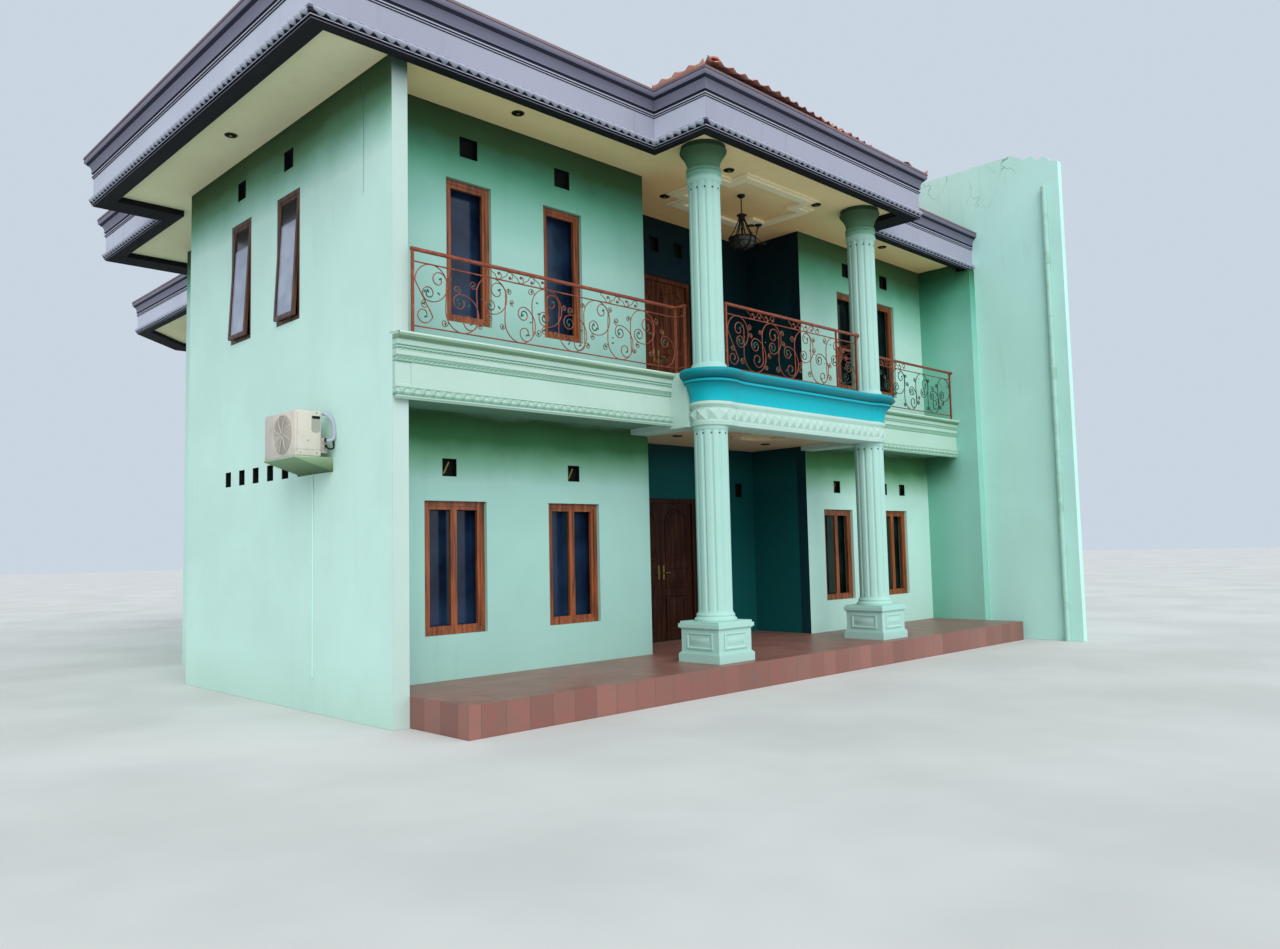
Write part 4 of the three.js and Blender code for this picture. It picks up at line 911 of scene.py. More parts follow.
def flute_radius(radius, share, deep):
    """Radius of a shaft at a share of the way from one fillet to the next: a groove lies round each end"""
    place = min(share, 1 - share) / FILLET_SHARE
    groove = FLUTE_DEPTH * deep * math.sqrt(max(0.0, 1 - place * place))
    return radius - groove + 0.004 * math.sin(math.pi * share) - 0.002


def fluted(shape, x, radius, z0, z1):
    """A shaft with shallow grooves whose ends are rounded"""
    turns = circle(FLUTES * FLUTE_STEPS, FLUTE_START)
    levels = [z0, z0 + 0.02, z0 + 0.05]
    levels += [z0 + 0.1 + (z1 - z0 - 0.2) * k / 6 for k in range(7)]
    levels += [z1 - 0.05, z1 - 0.02, z1]
    rows = []
    for z in levels:
        deep = min(1.0, min(z - z0, z1 - z) / FLUTE_END)
        row = []
        for k, (c, s) in enumerate(turns):
            r = flute_radius(radius, k % FLUTE_STEPS / FLUTE_STEPS, deep)
            row.append((x + r * c, COLUMN_Y + r * s, z))
        rows.append(row)
    shape.solid(rows)


def dimples(shape, x, radius, z, look):
    """A small dimple above each groove, dark as painted shade"""
    for c, s in circle(FLUTES, FLUTE_START):
        out = Vector((c, s, 0))
        rim = Vector((x, COLUMN_Y, z)) + out * radius
        shape.tube([rim - out * 0.02, rim + out * 0.0015], 0.009, 8, look)


UPPER_CAPITAL = [
    (0.0, 6.66), (0.214, 6.66), (0.222, 6.676), (0.235, 6.69), (0.2395, 6.704), (0.24, 6.72),
    (0.237, 6.737), (0.229, 6.748), (0.2255, 6.757), (0.225, 6.782), (0.233, 6.791), (0.2385, 6.804),
    (0.235, 6.82), (0.229, 6.828), (0.229, 6.838), (0.235, 6.845), (0.2385, 6.858), (0.234, 6.872),
    (0.2225, 6.882), (0.22, 6.905), (0.222, 6.935), (0.231, 6.962), (0.243, 6.99), (0.257, 7.02),
    (0.277, 7.052), (0.3, 7.08), (0.315, 7.104), (0.32, 7.122), (0.312, 7.138), (0.302, 7.142),
    (0.302, 7.1897), (0.0, 7.1897),
]
UPPER_BASE = [
    (0.0, 4.1303), (0.248, 4.1303), (0.256, 4.15), (0.25, 4.168), (0.238, 4.178), (0.236, 4.195),
    (0.222, 4.22), (0.0, 4.22),
]
LOWER_CAPITAL = [
    (0.0, 3.33), (0.226, 3.33), (0.232, 3.342), (0.236, 3.352), (0.237, 3.366), (0.24, 3.372),
    (0.24, 3.3897), (0.0, 3.3897),
]
LOWER_BASE = [
    (0.0, 0.84), (0.27, 0.84), (0.28, 0.862), (0.276, 0.884), (0.256, 0.896), (0.248, 0.91), (0.254, 0.924),
    (0.25, 0.938), (0.234, 0.95), (0.228, 0.975), (0.0, 0.975),
]
# Radius, foot and top of the shafts, and radius and height of the dimples above their grooves
UPPER_SHAFT, UPPER_DIMPLES = (0.213, 4.18, 6.69), (0.2135, 6.583)
LOWER_SHAFT, LOWER_DIMPLES = (0.224, 0.95, 3.345), (0.2245, 3.29)
# Half width, foot and top of the pedestal's courses, and of the panels on its sides
PEDESTAL = [
    (0.35, 0.3303, 0.44), (0.335, 0.44, 0.455), (0.32, 0.455, 0.755), (0.335, 0.755, 0.77),
    (0.35, 0.77, 0.82), (0.33, 0.82, 0.85),
]
PEDESTAL_PANEL = (0.22, 0.5, 0.71)
PEDESTAL_FACE = 0.321
# Inset, and height as a share of the panel's depth, from the rim to the raised field
PANEL_STEPS = ((0.0, 1), (0.018, 1.3), (0.03, 0.3), (0.05, 0.3), (0.075, 1.5))
PANEL_DEPTH = 0.012
PANEL_BACK = -0.004


def panel(shape, centre, beside, ahead, half, z0, z1, arched=False):
    """A raised panel with a moulded edge on a flat face, its top round where arched is true"""
    rows = []
    for inset, out in [(0.0, PANEL_BACK)] + [(inset, share * PANEL_DEPTH) for inset, share in PANEL_STEPS]:
        inset = inset * min(1.0, half / 0.2)
        a = half - inset
        outline = [(-a, z0 + inset), (a, z0 + inset)]
        if arched:
            outline += [(a * c, z1 - half + a * s) for c, s in circle(24)[:13]]
        else:
            outline += [(a, z1 - inset), (-a, z1 - inset)]
        rows.append([tuple(centre + beside * u + ahead * out + upright(z)) for u, z in outline])
    shape.solid(rows)


def build_columns():
    looks = [mint_column, dark_hole]
    for x, side in zip(COLUMN_X, ("left", "right")):
        upper = Shape()
        fluted(upper, x, *UPPER_SHAFT)
        upper.lathe(UPPER_CAPITAL, x, COLUMN_Y, 40)
        upper.lathe(UPPER_BASE, x, COLUMN_Y, 40)
        dimples(upper, x, *UPPER_DIMPLES, 1)
        upper.piece("column_upper_" + side, looks, ["upper_column_" + side], weld=1e-5)
        lower = Shape()
        fluted(lower, x, *LOWER_SHAFT)
        lower.lathe(LOWER_CAPITAL, x, COLUMN_Y, 40)
        lower.lathe(LOWER_BASE, x, COLUMN_Y, 40)
        dimples(lower, x, *LOWER_DIMPLES, 1)
        for half, z0, z1 in PEDESTAL:
            lower.box(x - half, x + half, COLUMN_Y - half, COLUMN_Y + half, z0, z1)
        for c, s in circle(4):
            ahead = Vector((c, s, 0))
            centre = Vector((x, COLUMN_Y, 0)) + ahead * PEDESTAL_FACE
            panel(lower, centre, Vector((-s, c, 0)), ahead, *PEDESTAL_PANEL)
        lower.piece("column_lower_" + side, looks, ["lower_column_" + side])


build_columns()


# Belt and beam of the porch: rings round the columns that sweep into a straight run
RING_RADIUS = 0.262
RUN_REACH = 0.245
RUN_FLARE = 0.536
BEND_REACH = 0.14
BEND_SOFT = 0.075
BEND_STEPS = 18
BELT_BACK = -0.35
BEAM_FOOT, BEAM_TOP = 3.39, 3.7097
BELT_SECTION = [
    (0.262, 3.7103), (0.262, 3.73), (0.266, 3.775), (0.274, 3.82), (0.286, 3.86), (0.305, 3.895),
    (0.327, 3.92), (0.349, 3.938), (0.358, 3.943), (0.358, 3.952), (0.369, 3.956), (0.374, 3.966),
    (0.374, 3.984), (0.366, 3.99), (0.379, 3.996), (0.4, 4.003), (0.415, 4.018), (0.425, 4.038),
    (0.429, 4.062), (0.426, 4.088), (0.416, 4.108), (0.402, 4.122), (0.38, 4.13),
]
BEAM_SECTION = [
    (0.25, 3.39), (0.258, 3.392), (0.262, 3.4), (0.262, 3.412), (0.256, 3.416), (0.256, 3.422),
    (0.262, 3.428), (0.26, 3.436), (0.246, 3.44), (0.246, 3.625), (0.252, 3.63), (0.26, 3.636),
    (0.262, 3.642), (0.256, 3.645), (0.266, 3.652), (0.274, 3.664), (0.274, 3.68), (0.268, 3.694),
    (0.258, 3.703), (0.256, 3.7097),
]


def run_reach(radius):
    """How far the straight run stands out where the rings have a given radius"""
    return RUN_REACH + (radius - RING_RADIUS) * RUN_FLARE


def belt_line(radius, steps=10):
    """Plan outline at a radius: round the left column, in a soft bend onto the run, round the right column"""
    back = math.asin(min(1.0, (BELT_BACK - COLUMN_Y) / radius))
    first, last = math.pi - back, math.tau * 0.75
    ring = [first + (last - first) * k / steps for k in range(steps + 1)]
    left = [(COLUMN_X[0] + radius * math.cos(a), COLUMN_Y + radius * math.sin(a)) for a in ring]
    run = run_reach(radius)
    for k in range(1, BEND_STEPS + 1):
        beside = (radius + BEND_REACH) * math.sin(k / BEND_STEPS * math.pi / 2)
        bow = math.sqrt(max(0.0, radius * radius - beside * beside))
        soft = BEND_SOFT * min(1.0, beside / (0.4 * radius))
        reach = (bow + run + math.hypot(bow - run, soft)) / 2
        if beside > radius:
            reach -= soft * soft / 4 / run
        left.append((COLUMN_X[0] + beside, COLUMN_Y - reach))
    right = [(COLUMN_X[0] + COLUMN_X[1] - x, y) for x, y in reversed(left)]
    return left + right


def belt(shape, section):
    """A moulding along the belt's line, closed below, above and at its back"""
    rows = [[(x, y, z) for x, y in belt_line(r)] for r, z in section]
    shape.grid(rows)
    back = [row[0] for row in rows] + [row[-1] for row in reversed(rows)]
    for outline in (rows[0], rows[-1], back):
        shape.add(outline, [tuple(range(len(outline)))])


# Pointed facets on the beam: pitch, and their rim as shares of the pitch with heights
FACET_PITCH = 0.168
FACET_RIM = [
    (-0.5, 3.618), (0.0, 3.6), (0.5, 3.618), (0.44, 3.53), (0.5, 3.446), (0.0, 3.46), (-0.5, 3.446),
    (-0.44, 3.53),
]


def facets(shape):
    """Pointed facets side by side on the beam's flat band"""
    line = [Vector((x, y, 0)) for x, y in belt_line(0.247, 30)]
    places = [0.0]
    for a, b in zip(line, line[1:]):
        places.append(places[-1] + (b - a).length)
    total = places[-1]

    def at(distance):
        """The point at a distance along the line, and its outward direction"""
        i = min(bisect.bisect_left(places, distance, 1), len(line) - 1)
        share = (distance - places[i - 1]) / (places[i] - places[i - 1])
        run = (line[i] - line[i - 1]).normalized()
        return line[i - 1].lerp(line[i], share), Vector((run.y, -run.x, 0))

    count = round(total / FACET_PITCH)
    pitch = total / count
    faces = [(i, (i + 1) % 8, 8) for i in range(8)] + [((i + 1) % 8, i, 9) for i in range(8)]
    for k in range(count):
        middle = (k + 0.5) * pitch
        corners = []
        for offset, z in FACET_RIM:
            point, out = at(min(max(middle + offset * pitch, 0.0), total))
            corners.append(tuple(point - out * 0.003 + upright(z)))
        point, out = at(middle)
        corners += [tuple(point + out * 0.036 + upright(3.54)), tuple(point - out * 0.006 + upright(3.53))]
        shape.add(corners, faces)


# Side beams from the columns to the front wall: how far out they start, their width and their rear end,
# and the rear ends of the curbs on them
SIDE_BEAM_OUT, SIDE_BEAM_WIDE, SIDE_BEAM_END = 0.255, 0.335, 0.7297
SIDE_CURB_ENDS = (0.06, 0.2)
CLEAR = 0.0003


def build_belt():
    shape = Shape()
    belt(shape, BELT_SECTION)
    shape.piece("belt", [turquoise], ["porch_belt"], smooth=32, weld=1e-5)
    shape = Shape()
    belt(shape, BEAM_SECTION)
    starts = (COLUMN_X[0] - SIDE_BEAM_OUT, COLUMN_X[1] + SIDE_BEAM_OUT - SIDE_BEAM_WIDE)
    for x, curb_end in zip(starts, SIDE_CURB_ENDS):
        end = x + SIDE_BEAM_WIDE
        shape.box(x, end, BELT_BACK, SIDE_BEAM_END, BEAM_FOOT, BEAM_TOP)
        shape.box(x, end, BELT_BACK + CLEAR, SIDE_BEAM_END, BEAM_TOP, DECK_TOP)
        shape.box(x, end, BELT_BACK + CLEAR, curb_end, DECK_TOP, CURB)
    shape.box(*COLUMN_X, COLUMN_Y - 0.03, BELT_BACK, BEAM_FOOT + 0.0002, BEAM_TOP - 0.0002)
    shape.piece("beam", [mint_trim], ["porch_beam"], smooth=32, weld=1e-5)
    shape = Shape()
    facets(shape)
    shape.piece("beam_facets", [mint_trim], smooth=20)


build_belt()


# Balcony edges: rows of twisted beads and hanging teeth on the stepped crown
BEAD_PITCH = 0.062
BEAD_RADIUS = 0.015
DROP_PITCH = 0.128
# How far the beads and thin mouldings stand out, their heights and the mouldings' radii
BEAD_LINES = ((0.078, 3.97), (0.064, 3.857))
THIN_LINES = [
    (0.088, 3.552, 0.007), (0.066, 3.886, 0.004), (0.08, 3.944, 0.005), (0.092, 4.0, 0.004),
    (0.062, 3.43, 0.006),
]
CURB_LIP = [
    (-0.13, 4.1), (-0.142, 4.104), (-0.148, 4.115), (-0.142, 4.128), (-0.13, 4.135), (0.055, 4.135),
    (0.055, 4.128), (-0.12, 4.128),
]


def bead_row(shape, x0, x1, y, z):
    count = round((x1 - x0) / BEAD_PITCH)
    step = (x1 - x0) / count
    for k in range(count):
        x = x0 + (k + 0.5) * step
        rows = []
        for share, width in ((-1.0, 0.45), (-0.5, 1), (0.5, 1), (1.0, 0.45)):
            r = BEAD_RADIUS * width
            rows.append([(x + share * step * 0.46 + 0.012 * s, y + r * c, z + r * s) for c, s in circle(6)])
        shape.solid(rows)


def hanging_teeth(shape, x0, x1, y):
    """Faceted drops under the plain band, with open notches between their points"""
    count = round((x1 - x0) / DROP_PITCH)
    pitch = (x1 - x0) / count
    for k in range(count):
        x = x0 + (k + 0.5) * pitch
        points = [
            (x - pitch * 0.47, y - 0.002, 3.545), (x + pitch * 0.47, y - 0.002, 3.545),
            (x, y - 0.002, 3.462), (x, y - 0.026, 3.522), (x, y + 0.004, 3.52),
        ]
        shape.add(points, [(0, 1, 3), (1, 2, 3), (2, 0, 3), (1, 0, 4), (2, 1, 4), (0, 2, 4)])


def balcony_trim(name, x0, x1, back, look):
    shape = Shape()
    for out, z in BEAD_LINES:
        bead_row(shape, x0, x1, back - out, z)
    hanging_teeth(shape, x0, x1, back - 0.085)
    for out, z, radius in THIN_LINES:
        shape.tube([(x0, back - out, z), (x1, back - out, z)], radius)
    shape.solid([[(x, back + y, z) for y, z in CURB_LIP] for x in (x0, x1)])
    shape.piece(name, [look], smooth=40)


balcony_trim("balcony_trim_left", 0.0, 4.1645, 0.0, mint_edge)
balcony_trim("balcony_trim_right", 8.4755, 12.2895, RIGHT_BALCONY_Y, mint_edge_right)


# Railings of scrolled iron with leaf curls. Heights are above the curb.
RAIL_TOP = 0.94
PORCH_RAIL_TOP = 0.99
RAIL_BOTTOM = 0.09
RAIL_THICK = 0.034
BAR_BELOW = 0.15
RAIL_SECTION = [
    (-0.02, -0.003), (-0.02, -0.03), (-0.015, -0.035), (0.015, -0.035), (0.02, -0.03), (0.02, -0.006),
    (0.012, 0.003), (-0.012, 0.003),
]
# Rail lines in plan: the left balcony's with its turn to the porch, the porch's, and the right balcony's
LEFT_RAIL = [(0.2, -0.07), (4.28, -0.07), (4.28, -0.245)]
PORCH_RAIL = [(4.77, -0.55), (7.93, -0.55)]
RIGHT_RAIL = [(8.36, -0.245), (8.36, RIGHT_BALCONY_Y - 0.07), (12.115, RIGHT_BALCONY_Y - 0.07)]
VINE_PITCH = 0.4
FRIEZE_PITCH = 0.16
FRIEZE_THICK = 0.0052
LEAF_CUP = 0.008


def around(centre, radius, angle):
    """The screen point at a distance and an angle from another"""
    return (centre[0] + radius * math.cos(angle), centre[1] + radius * math.sin(angle))


class Screen:
    """An upright plane along a plan line, in which iron is drawn"""

    def __init__(self, shape, start, end):
        self.shape = shape
        self.start = Vector((*start, CURB))
        self.run = Vector((end[0] - start[0], end[1] - start[1], 0))
        self.length = self.run.length
        self.run.normalize()
        self.out = Vector((self.run.y, -self.run.x, 0))

    def at(self, u, w, out=0.0):
        return self.start + self.run * u + self.out * out + upright(w)

    def bar(self, points, radius, look=0, sides=6):
        self.shape.tube([self.at(u, w) for u, w in points], radius, sides, look)

    def level_bar(self, w, radius):
        self.bar([(0, w), (self.length, w)], radius, sides=8)

    def post(self, u, levels):
        """A square post of half widths by height"""
        rows = []
        for w, half in levels:
            corners = ((-half, -half), (half, -half), (half, half), (-half, half))
            rows.append([tuple(self.at(u + a, w, b)) for a, b in corners])
        self.shape.solid(rows)

    def leaf(self, centre, size, turn):
        """A small leaf with two lobes, a little cupped"""
        rim = []
        for t in (k * math.tau / 10 for k in range(10)):
            r = size * (0.75 + 0.35 * math.cos(2 * t))
            rim.append(self.at(centre[0] + r * math.cos(t + turn), centre[1] + r * math.sin(t + turn) * 0.9))
        peaks = [self.at(*centre, LEAF_CUP), self.at(*centre, -LEAF_CUP)]
        faces = [(k, (k + 1) % 10, 10) for k in range(10)] + [((k + 1) % 10, k, 11) for k in range(10)]
        self.shape.add([tuple(p) for p in rim + peaks], faces, 1)

    def spiral(self, centre, radius, start, hand, thick, look):
        """A small spiral that winds inwards, with a green end and a leaf"""
        points = []
        for share in (k / 22 for k in range(23)):
            angle = start + hand * 1.25 * math.tau * share
            points.append(around(centre, radius * (1 - 0.7 * share ** 0.8), angle))
        self.bar(points[:19], thick, look)
        self.bar(points[18:], thick * 1.25, 1)
        self.leaf(points[-1], radius * 0.16 + 0.012, angle)

    def scroll(self, centre, radius, sweep, thick, look, lead):
        """A wide arc after a lead, with a green curl inside its end. The sweep is negative when clockwise."""
        steps = int(abs(sweep) / 0.2)
        arc = [around(centre, radius, math.pi + sweep * k / steps) for k in range(steps + 1)]
        small = radius * 0.42
        end = math.pi + sweep
        hub = around(centre, radius - small, end)
        turns = [end + math.copysign(1.4 * math.tau, sweep) * k / 26 for k in range(1, 27)]
        curl = [around(hub, small * (1 - 0.72 * k / 26), turn) for k, turn in enumerate(turns, 1)]
        self.bar(lead + arc + curl[:15], thick, look)
        self.bar(curl[14:], thick * 1.2, 1)
        self.leaf(curl[-1], small * 0.28, turns[-1])


def smooth_path(points, steps=5):
    """Catmull-Rom curve through points"""
    points = [Vector(p) for p in points]
    padded = [points[0] * 2 - points[1]] + points + [points[-1] * 2 - points[-2]]
    made = []
    for a, b, c, d in zip(padded, padded[1:], padded[2:], padded[3:]):
        for t in (k / steps for k in range(steps)):
            square, cube = 2 * a - 5 * b + 4 * c - d, 3 * b - a - 3 * c + d
            made.append(0.5 * (2 * b + (c - a) * t + square * t * t + cube * t ** 3))
    made.append(points[-1])
    return made


def flat_curve(points, steps=6):
    """Smooth curve through points of a screen"""
    return [(p.x, p.y) for p in smooth_path([(x, y, 0) for x, y in points], steps)]


def vine(screen, low, high, thick, seed, look):
    """S-shaped scrolls by turns above and below: a wide bow with a curl inside, and a small spiral as tail"""
    draw = random.Random(seed)
    u0, u1 = 0.03, screen.length - 0.03
    count = round((u1 - u0) / VINE_PITCH)
    middle, tall = (low + high) / 2, high - low
    for k in range(count):
        sign = 1 if k % 2 == 0 else -1
        big = tall * draw.uniform(0.28, 0.325)
        tail = big * draw.uniform(0.46, 0.58)
        u = min(max(u0 + (k + 0.5) * (u1 - u0) / count, u0 + big), u1 - big)
        centre = (u, middle + sign * (tall / 2 - big))
        depth = tall / 2 - tail * draw.uniform(1.05, 1.7)
        hub = (max(u - big - tail * 0.9, u0 + tail), middle - sign * depth)
        grown = [i / 20 for i in range(21)]
        lead = [around(hub, tail * (0.3 + 0.7 * g), -sign * 2.2 * math.pi * (1 - g)) for g in grown]
        halfway = ((lead[-1][0] + u - big) / 2, (hub[1] + centre[1]) / 2)
        link = flat_curve([lead[-2], lead[-1], halfway, (u - big, centre[1])], 4)
        sweep = -sign * draw.uniform(1.35, 1.75) * math.pi
        screen.scroll(centre, big, sweep, thick, look, lead[:-2] + link[:-1])
        screen.leaf(lead[0], tail * 0.22, 0.5)
        for turn in (0.12, 0.5, 0.88, 1.4):
            angle = sign * turn * math.pi + draw.uniform(-0.2, 0.2)
            tiny = tall * draw.uniform(0.055, 0.08)
            at = around(centre, big + tiny * 1.05, angle)
            if u0 + tiny < at[0] < u1 - tiny and low + tiny < at[1] < high - tiny:
                hand = 1 if draw.random() < 0.5 else -1
                screen.spiral(at, tiny, angle + math.pi, hand, thick * 0.85, look)
        for _ in range(2):
            angle = draw.uniform(0, math.tau)
            at = around(centre, big * draw.uniform(0.6, 0.75), angle)
            screen.leaf(at, draw.uniform(0.016, 0.024), angle)


def frieze(screen, u0, u1, low, high):
    """Running wave with a small curl in each bow, between the top rail and the bar below it"""
    count = round((u1 - u0) / FRIEZE_PITCH)
    step = (u1 - u0) / count
    middle, half = (low + high) / 2, (high - low) / 2 - 0.006
    r = min(step * 0.46, half * 0.8)
    for k in range(count):
        sign = 1 if k % 2 else -1
        u = u0 + (k + 0.5) * step
        lead = flat_curve([
            (u - step * 0.75, middle - sign * half), (u - step * 0.62, middle - sign * half * 0.5),
            (u - r, middle + sign * half * 0.1),
        ])
        screen.scroll((u, middle + sign * (half - r)), r, -sign * 1.45 * math.pi, FRIEZE_THICK, 0, lead[:-1])


def rail_run(shape, start, end, top=RAIL_TOP, posts=(0, 1)):
    """The rail, two level bars and end posts of one straight stretch. posts are shares of its length."""
    screen = Screen(shape, start, end)
    ends = (-0.02, screen.length + 0.02)
    shape.solid([[tuple(screen.at(u, top + w, out)) for out, w in RAIL_SECTION] for u in ends])
    screen.level_bar(top - BAR_BELOW, 0.0085)
    screen.level_bar(RAIL_BOTTOM, 0.0085)
    for share in posts:
        levels = ((0.0004, 0.024), (0.008, 0.024), (0.01, 0.014), (top - RAIL_THICK, 0.014))
        screen.post(share * screen.length, levels)
    return screen


def scrollwork(screen, thick, seed, friezes, top=RAIL_TOP, look=0):
    """A vine between the bars, and friezes above it from one place to another"""
    vine(screen, RAIL_BOTTOM, top - BAR_BELOW, thick, seed, look)
    for u0, u1 in friezes:
        frieze(screen, u0, u1, top - BAR_BELOW, top - RAIL_THICK - 0.002)


def knob(shape, x, y, z):
    rows = []
    radius = 0.034
    for t in (0.15, 0.5, 0.85, 1.2, 1.57, 1.95, 2.3, 2.65, 3.0):
        r = radius * math.sin(t)
        rows.append([(x + r * c, y + r * s, z + radius * math.cos(t)) for c, s in circle(12)])
    shape.solid(rows)


def build_railings():
    left = Shape()
    screen = rail_run(left, *LEFT_RAIL[:2])
    scrollwork(screen, thick=0.0062, seed=3, friezes=[(1.05, 1.85), (2.75, 3.4)])
    rail_run(left, *LEFT_RAIL[1:], posts=(1,))
    left.piece("rails_left", [iron, leaf], ["railing_left"], smooth=50)
    porch = Shape()
    screen = rail_run(porch, *PORCH_RAIL, PORCH_RAIL_TOP)
    screen.post(2.62, ((0.0004, 0.012), (PORCH_RAIL_TOP - RAIL_THICK, 0.012)))
    scrollwork(screen, thick=0.007, seed=7, friezes=[(0.5, 1.1), (1.45, 2.2)], top=PORCH_RAIL_TOP)
    screen.level_bar(0.05, 0.012)
    knob(porch, 7.985, -0.55, CURB + 0.975)
    porch.piece("rails_porch", [iron, leaf], ["railing_porch"], smooth=50)
    right = Shape()
    rail_run(right, *RIGHT_RAIL[:2], posts=(0,))
    screen = rail_run(right, *RIGHT_RAIL[1:])
    scrollwork(screen, thick=0.0075, seed=11, friezes=[(0.95, 2.15)], look=2)
    knob(right, 12.175, RIGHT_RAIL[-1][1], CURB + 0.925)
    right.piece("rails_right", [iron, leaf, iron_dark], ["railing_right"], smooth=50)


build_railings()


# Doors: two leaves with raised panels in a jamb
DOOR_X = (5.1503, 6.7497)
DOOR_Y = 1.92
JAMB = 0.07
RIGHT, FRONT = Vector((1, 0, 0)), Vector((0, -1, 0))
# Heights above the floor of a leaf's square panels and of its round-topped panel, and its plain border
DOOR_PANELS = ((0.14, 0.72), (0.82, 1.16))
DOOR_ARCH = 1.26
DOOR_BORDER = 0.1


def door_leaf(shape, x0, x1, z0, top):
    """A leaf with two square panels below a round-topped one"""
    shape.box(x0, x1, DOOR_Y + 0.022, DOOR_Y + 0.06, z0 + 0.0043, top)
    middle = Vector(((x0 + x1) / 2, DOOR_Y + 0.0225, 0))
    half = (x1 - x0) / 2 - DOOR_BORDER
    for foot, head in DOOR_PANELS:
        panel(shape, middle, RIGHT, FRONT, half, z0 + foot, z0 + head)
    panel(shape, middle, RIGHT, FRONT, half, z0 + DOOR_ARCH, top - 0.088, arched=True)


def door_handle(shape, x, z, reach):
    """A plate with a lever that reaches sideways"""
    shape.box(x - 0.018, x + 0.018, DOOR_Y + 0.016, DOOR_Y + 0.023, z - 0.1, z + 0.12, 1)
    shape.tube([(x, DOOR_Y + 0.018, z), (x, DOOR_Y - 0.03, z), (x + reach, DOOR_Y - 0.034, z)], 0.008, 8, 1)


def build_doors():
    x0, x1 = DOOR_X
    centre = (x0 + x1) / 2
    for name, z0, z1 in (("upper", DECK_TOP, 6.23), ("lower", FLOOR, 2.6)):
        shape = Shape()
        low, high = z0 + 0.0003, z1 - 0.0003
        jamb = ((x0, x0 + JAMB, low), (x1 - JAMB, x1, low), (x0 + JAMB, x1 - JAMB, high - JAMB))
        for a, b, foot in jamb:
            shape.box(a, b, DOOR_Y - 0.012, DOOR_Y + 0.11, foot, high)
        door_leaf(shape, x0 + JAMB + 0.002, centre - 0.002, z0, high - JAMB - 0.002)
        door_leaf(shape, centre + 0.002, x1 - JAMB - 0.002, z0, high - JAMB - 0.002)
        for hand in (1, -1):
            door_handle(shape, centre - hand * 0.055, z0 + 1.08, -hand * 0.1)
        shape.piece("door_leaves_" + name, [door_wood, brass], ["door_" + name], smooth=30)


build_doors()


# Lamp under the porch ceiling: a cage of bowed ribs with a glass bowl, and two small cups at its side
LAMP = Vector((6.19, 0.27, 0))
LAMP_ROSE = [(0.0, 7.1897), (0.062, 7.1897), (0.06, 7.165), (0.04, 7.15), (0.014, 7.135), (0.0, 7.13)]
LAMP_STEM = [
    (0.0, 6.895), (0.014, 6.893), (0.02, 6.885), (0.07, 6.88), (0.08, 6.872), (0.078, 6.862), (0.05, 6.855),
    (0.044, 6.83), (0.036, 6.79), (0.022, 6.77), (0.014, 6.7), (0.022, 6.66), (0.014, 6.62), (0.014, 6.4),
    (0.0, 6.39),
]
LAMP_RIB = [
    (0.035, 6.85), (0.055, 6.79), (0.092, 6.7), (0.14, 6.6), (0.185, 6.535), (0.207, 6.5), (0.195, 6.44),
    (0.15, 6.385), (0.06, 6.345),
]
LAMP_HOOPS = ((0.205, 6.505, 0.013), (0.19, 6.437, 0.006), (0.052, 6.8, 0.007))
LAMP_FOOT = [(0.0, 6.336), (0.03, 6.338), (0.05, 6.345), (0.06, 6.352), (0.04, 6.36), (0.0, 6.36)]
LAMP_BOWL = [
    (0.05, 6.352), (0.14, 6.388), (0.184, 6.442), (0.196, 6.496), (0.19, 6.497), (0.176, 6.446),
    (0.134, 6.396), (0.05, 6.36),
]
LAMP_CUP = [
    (0.0, -0.006), (0.03, -0.004), (0.05, 0.006), (0.062, 0.02), (0.058, 0.026), (0.03, 0.02), (0.0, 0.018),
]


def lamp_chain(shape):
    for k in range(11):
        across = Vector((0, 1, 0)) if k % 2 else Vector((1, 0, 0))
        middle = LAMP + upright(7.132 - (k + 0.5) * 0.0225)
        link = [middle + across * (0.011 * c) + upright(0.017 * s) for c, s in circle(10)]
        shape.tube(link, 0.004, 5, closed=True)


def lamp_cage(shape):
    for c, s in circle(6, 0.35):
        out = Vector((c, s, 0))
        shape.tube(smooth_path([LAMP + out * r + upright(z) for r, z in LAMP_RIB], 3), 0.0095)
    for r, z, thick in LAMP_HOOPS:
        shape.tube([LAMP + Vector((r * c, r * s, z)) for c, s in circle(36)], thick, closed=True)


def lamp_cup(shape, beside, z, foot):
    """A small cup on two thin arms from the cage's rim"""
    root = LAMP + beside.normalized() * 0.2 + upright(foot)
    cup = LAMP + beside + upright(z)
    for thick, low, share, sag in ((0.008, 0.0, 0.45, -0.02), (0.005, 0.06, 0.6, 0.04)):
        bend = root.lerp(cup, share) + upright(sag)
        shape.tube(smooth_path([root + upright(low), bend, cup], 3), thick)
    shape.lathe([(r, z + rise) for r, rise in LAMP_CUP], cup.x, cup.y, 16)


def build_lamp():
    shape = Shape()
    shape.lathe(LAMP_ROSE, LAMP.x, LAMP.y, 20)
    lamp_chain(shape)
    shape.lathe(LAMP_STEM, LAMP.x, LAMP.y, 20)
    lamp_cage(shape)
    shape.lathe(LAMP_FOOT, LAMP.x, LAMP.y, 16)
    shape.lathe(LAMP_BOWL, LAMP.x, LAMP.y, 30, 1)
    aside, ahead = Vector((0.712, -0.702, 0)), Vector((0.702, 0.712, 0))
    lamp_cup(shape, aside * 0.24 - ahead * 0.1, 6.66, 6.5)
    lamp_cup(shape, aside * 0.31 + ahead * 0.05, 6.42, 6.49)
    shape.piece("hanging_lamp", [bronze, bowl], ["chandelier"], smooth=50)


build_lamp()


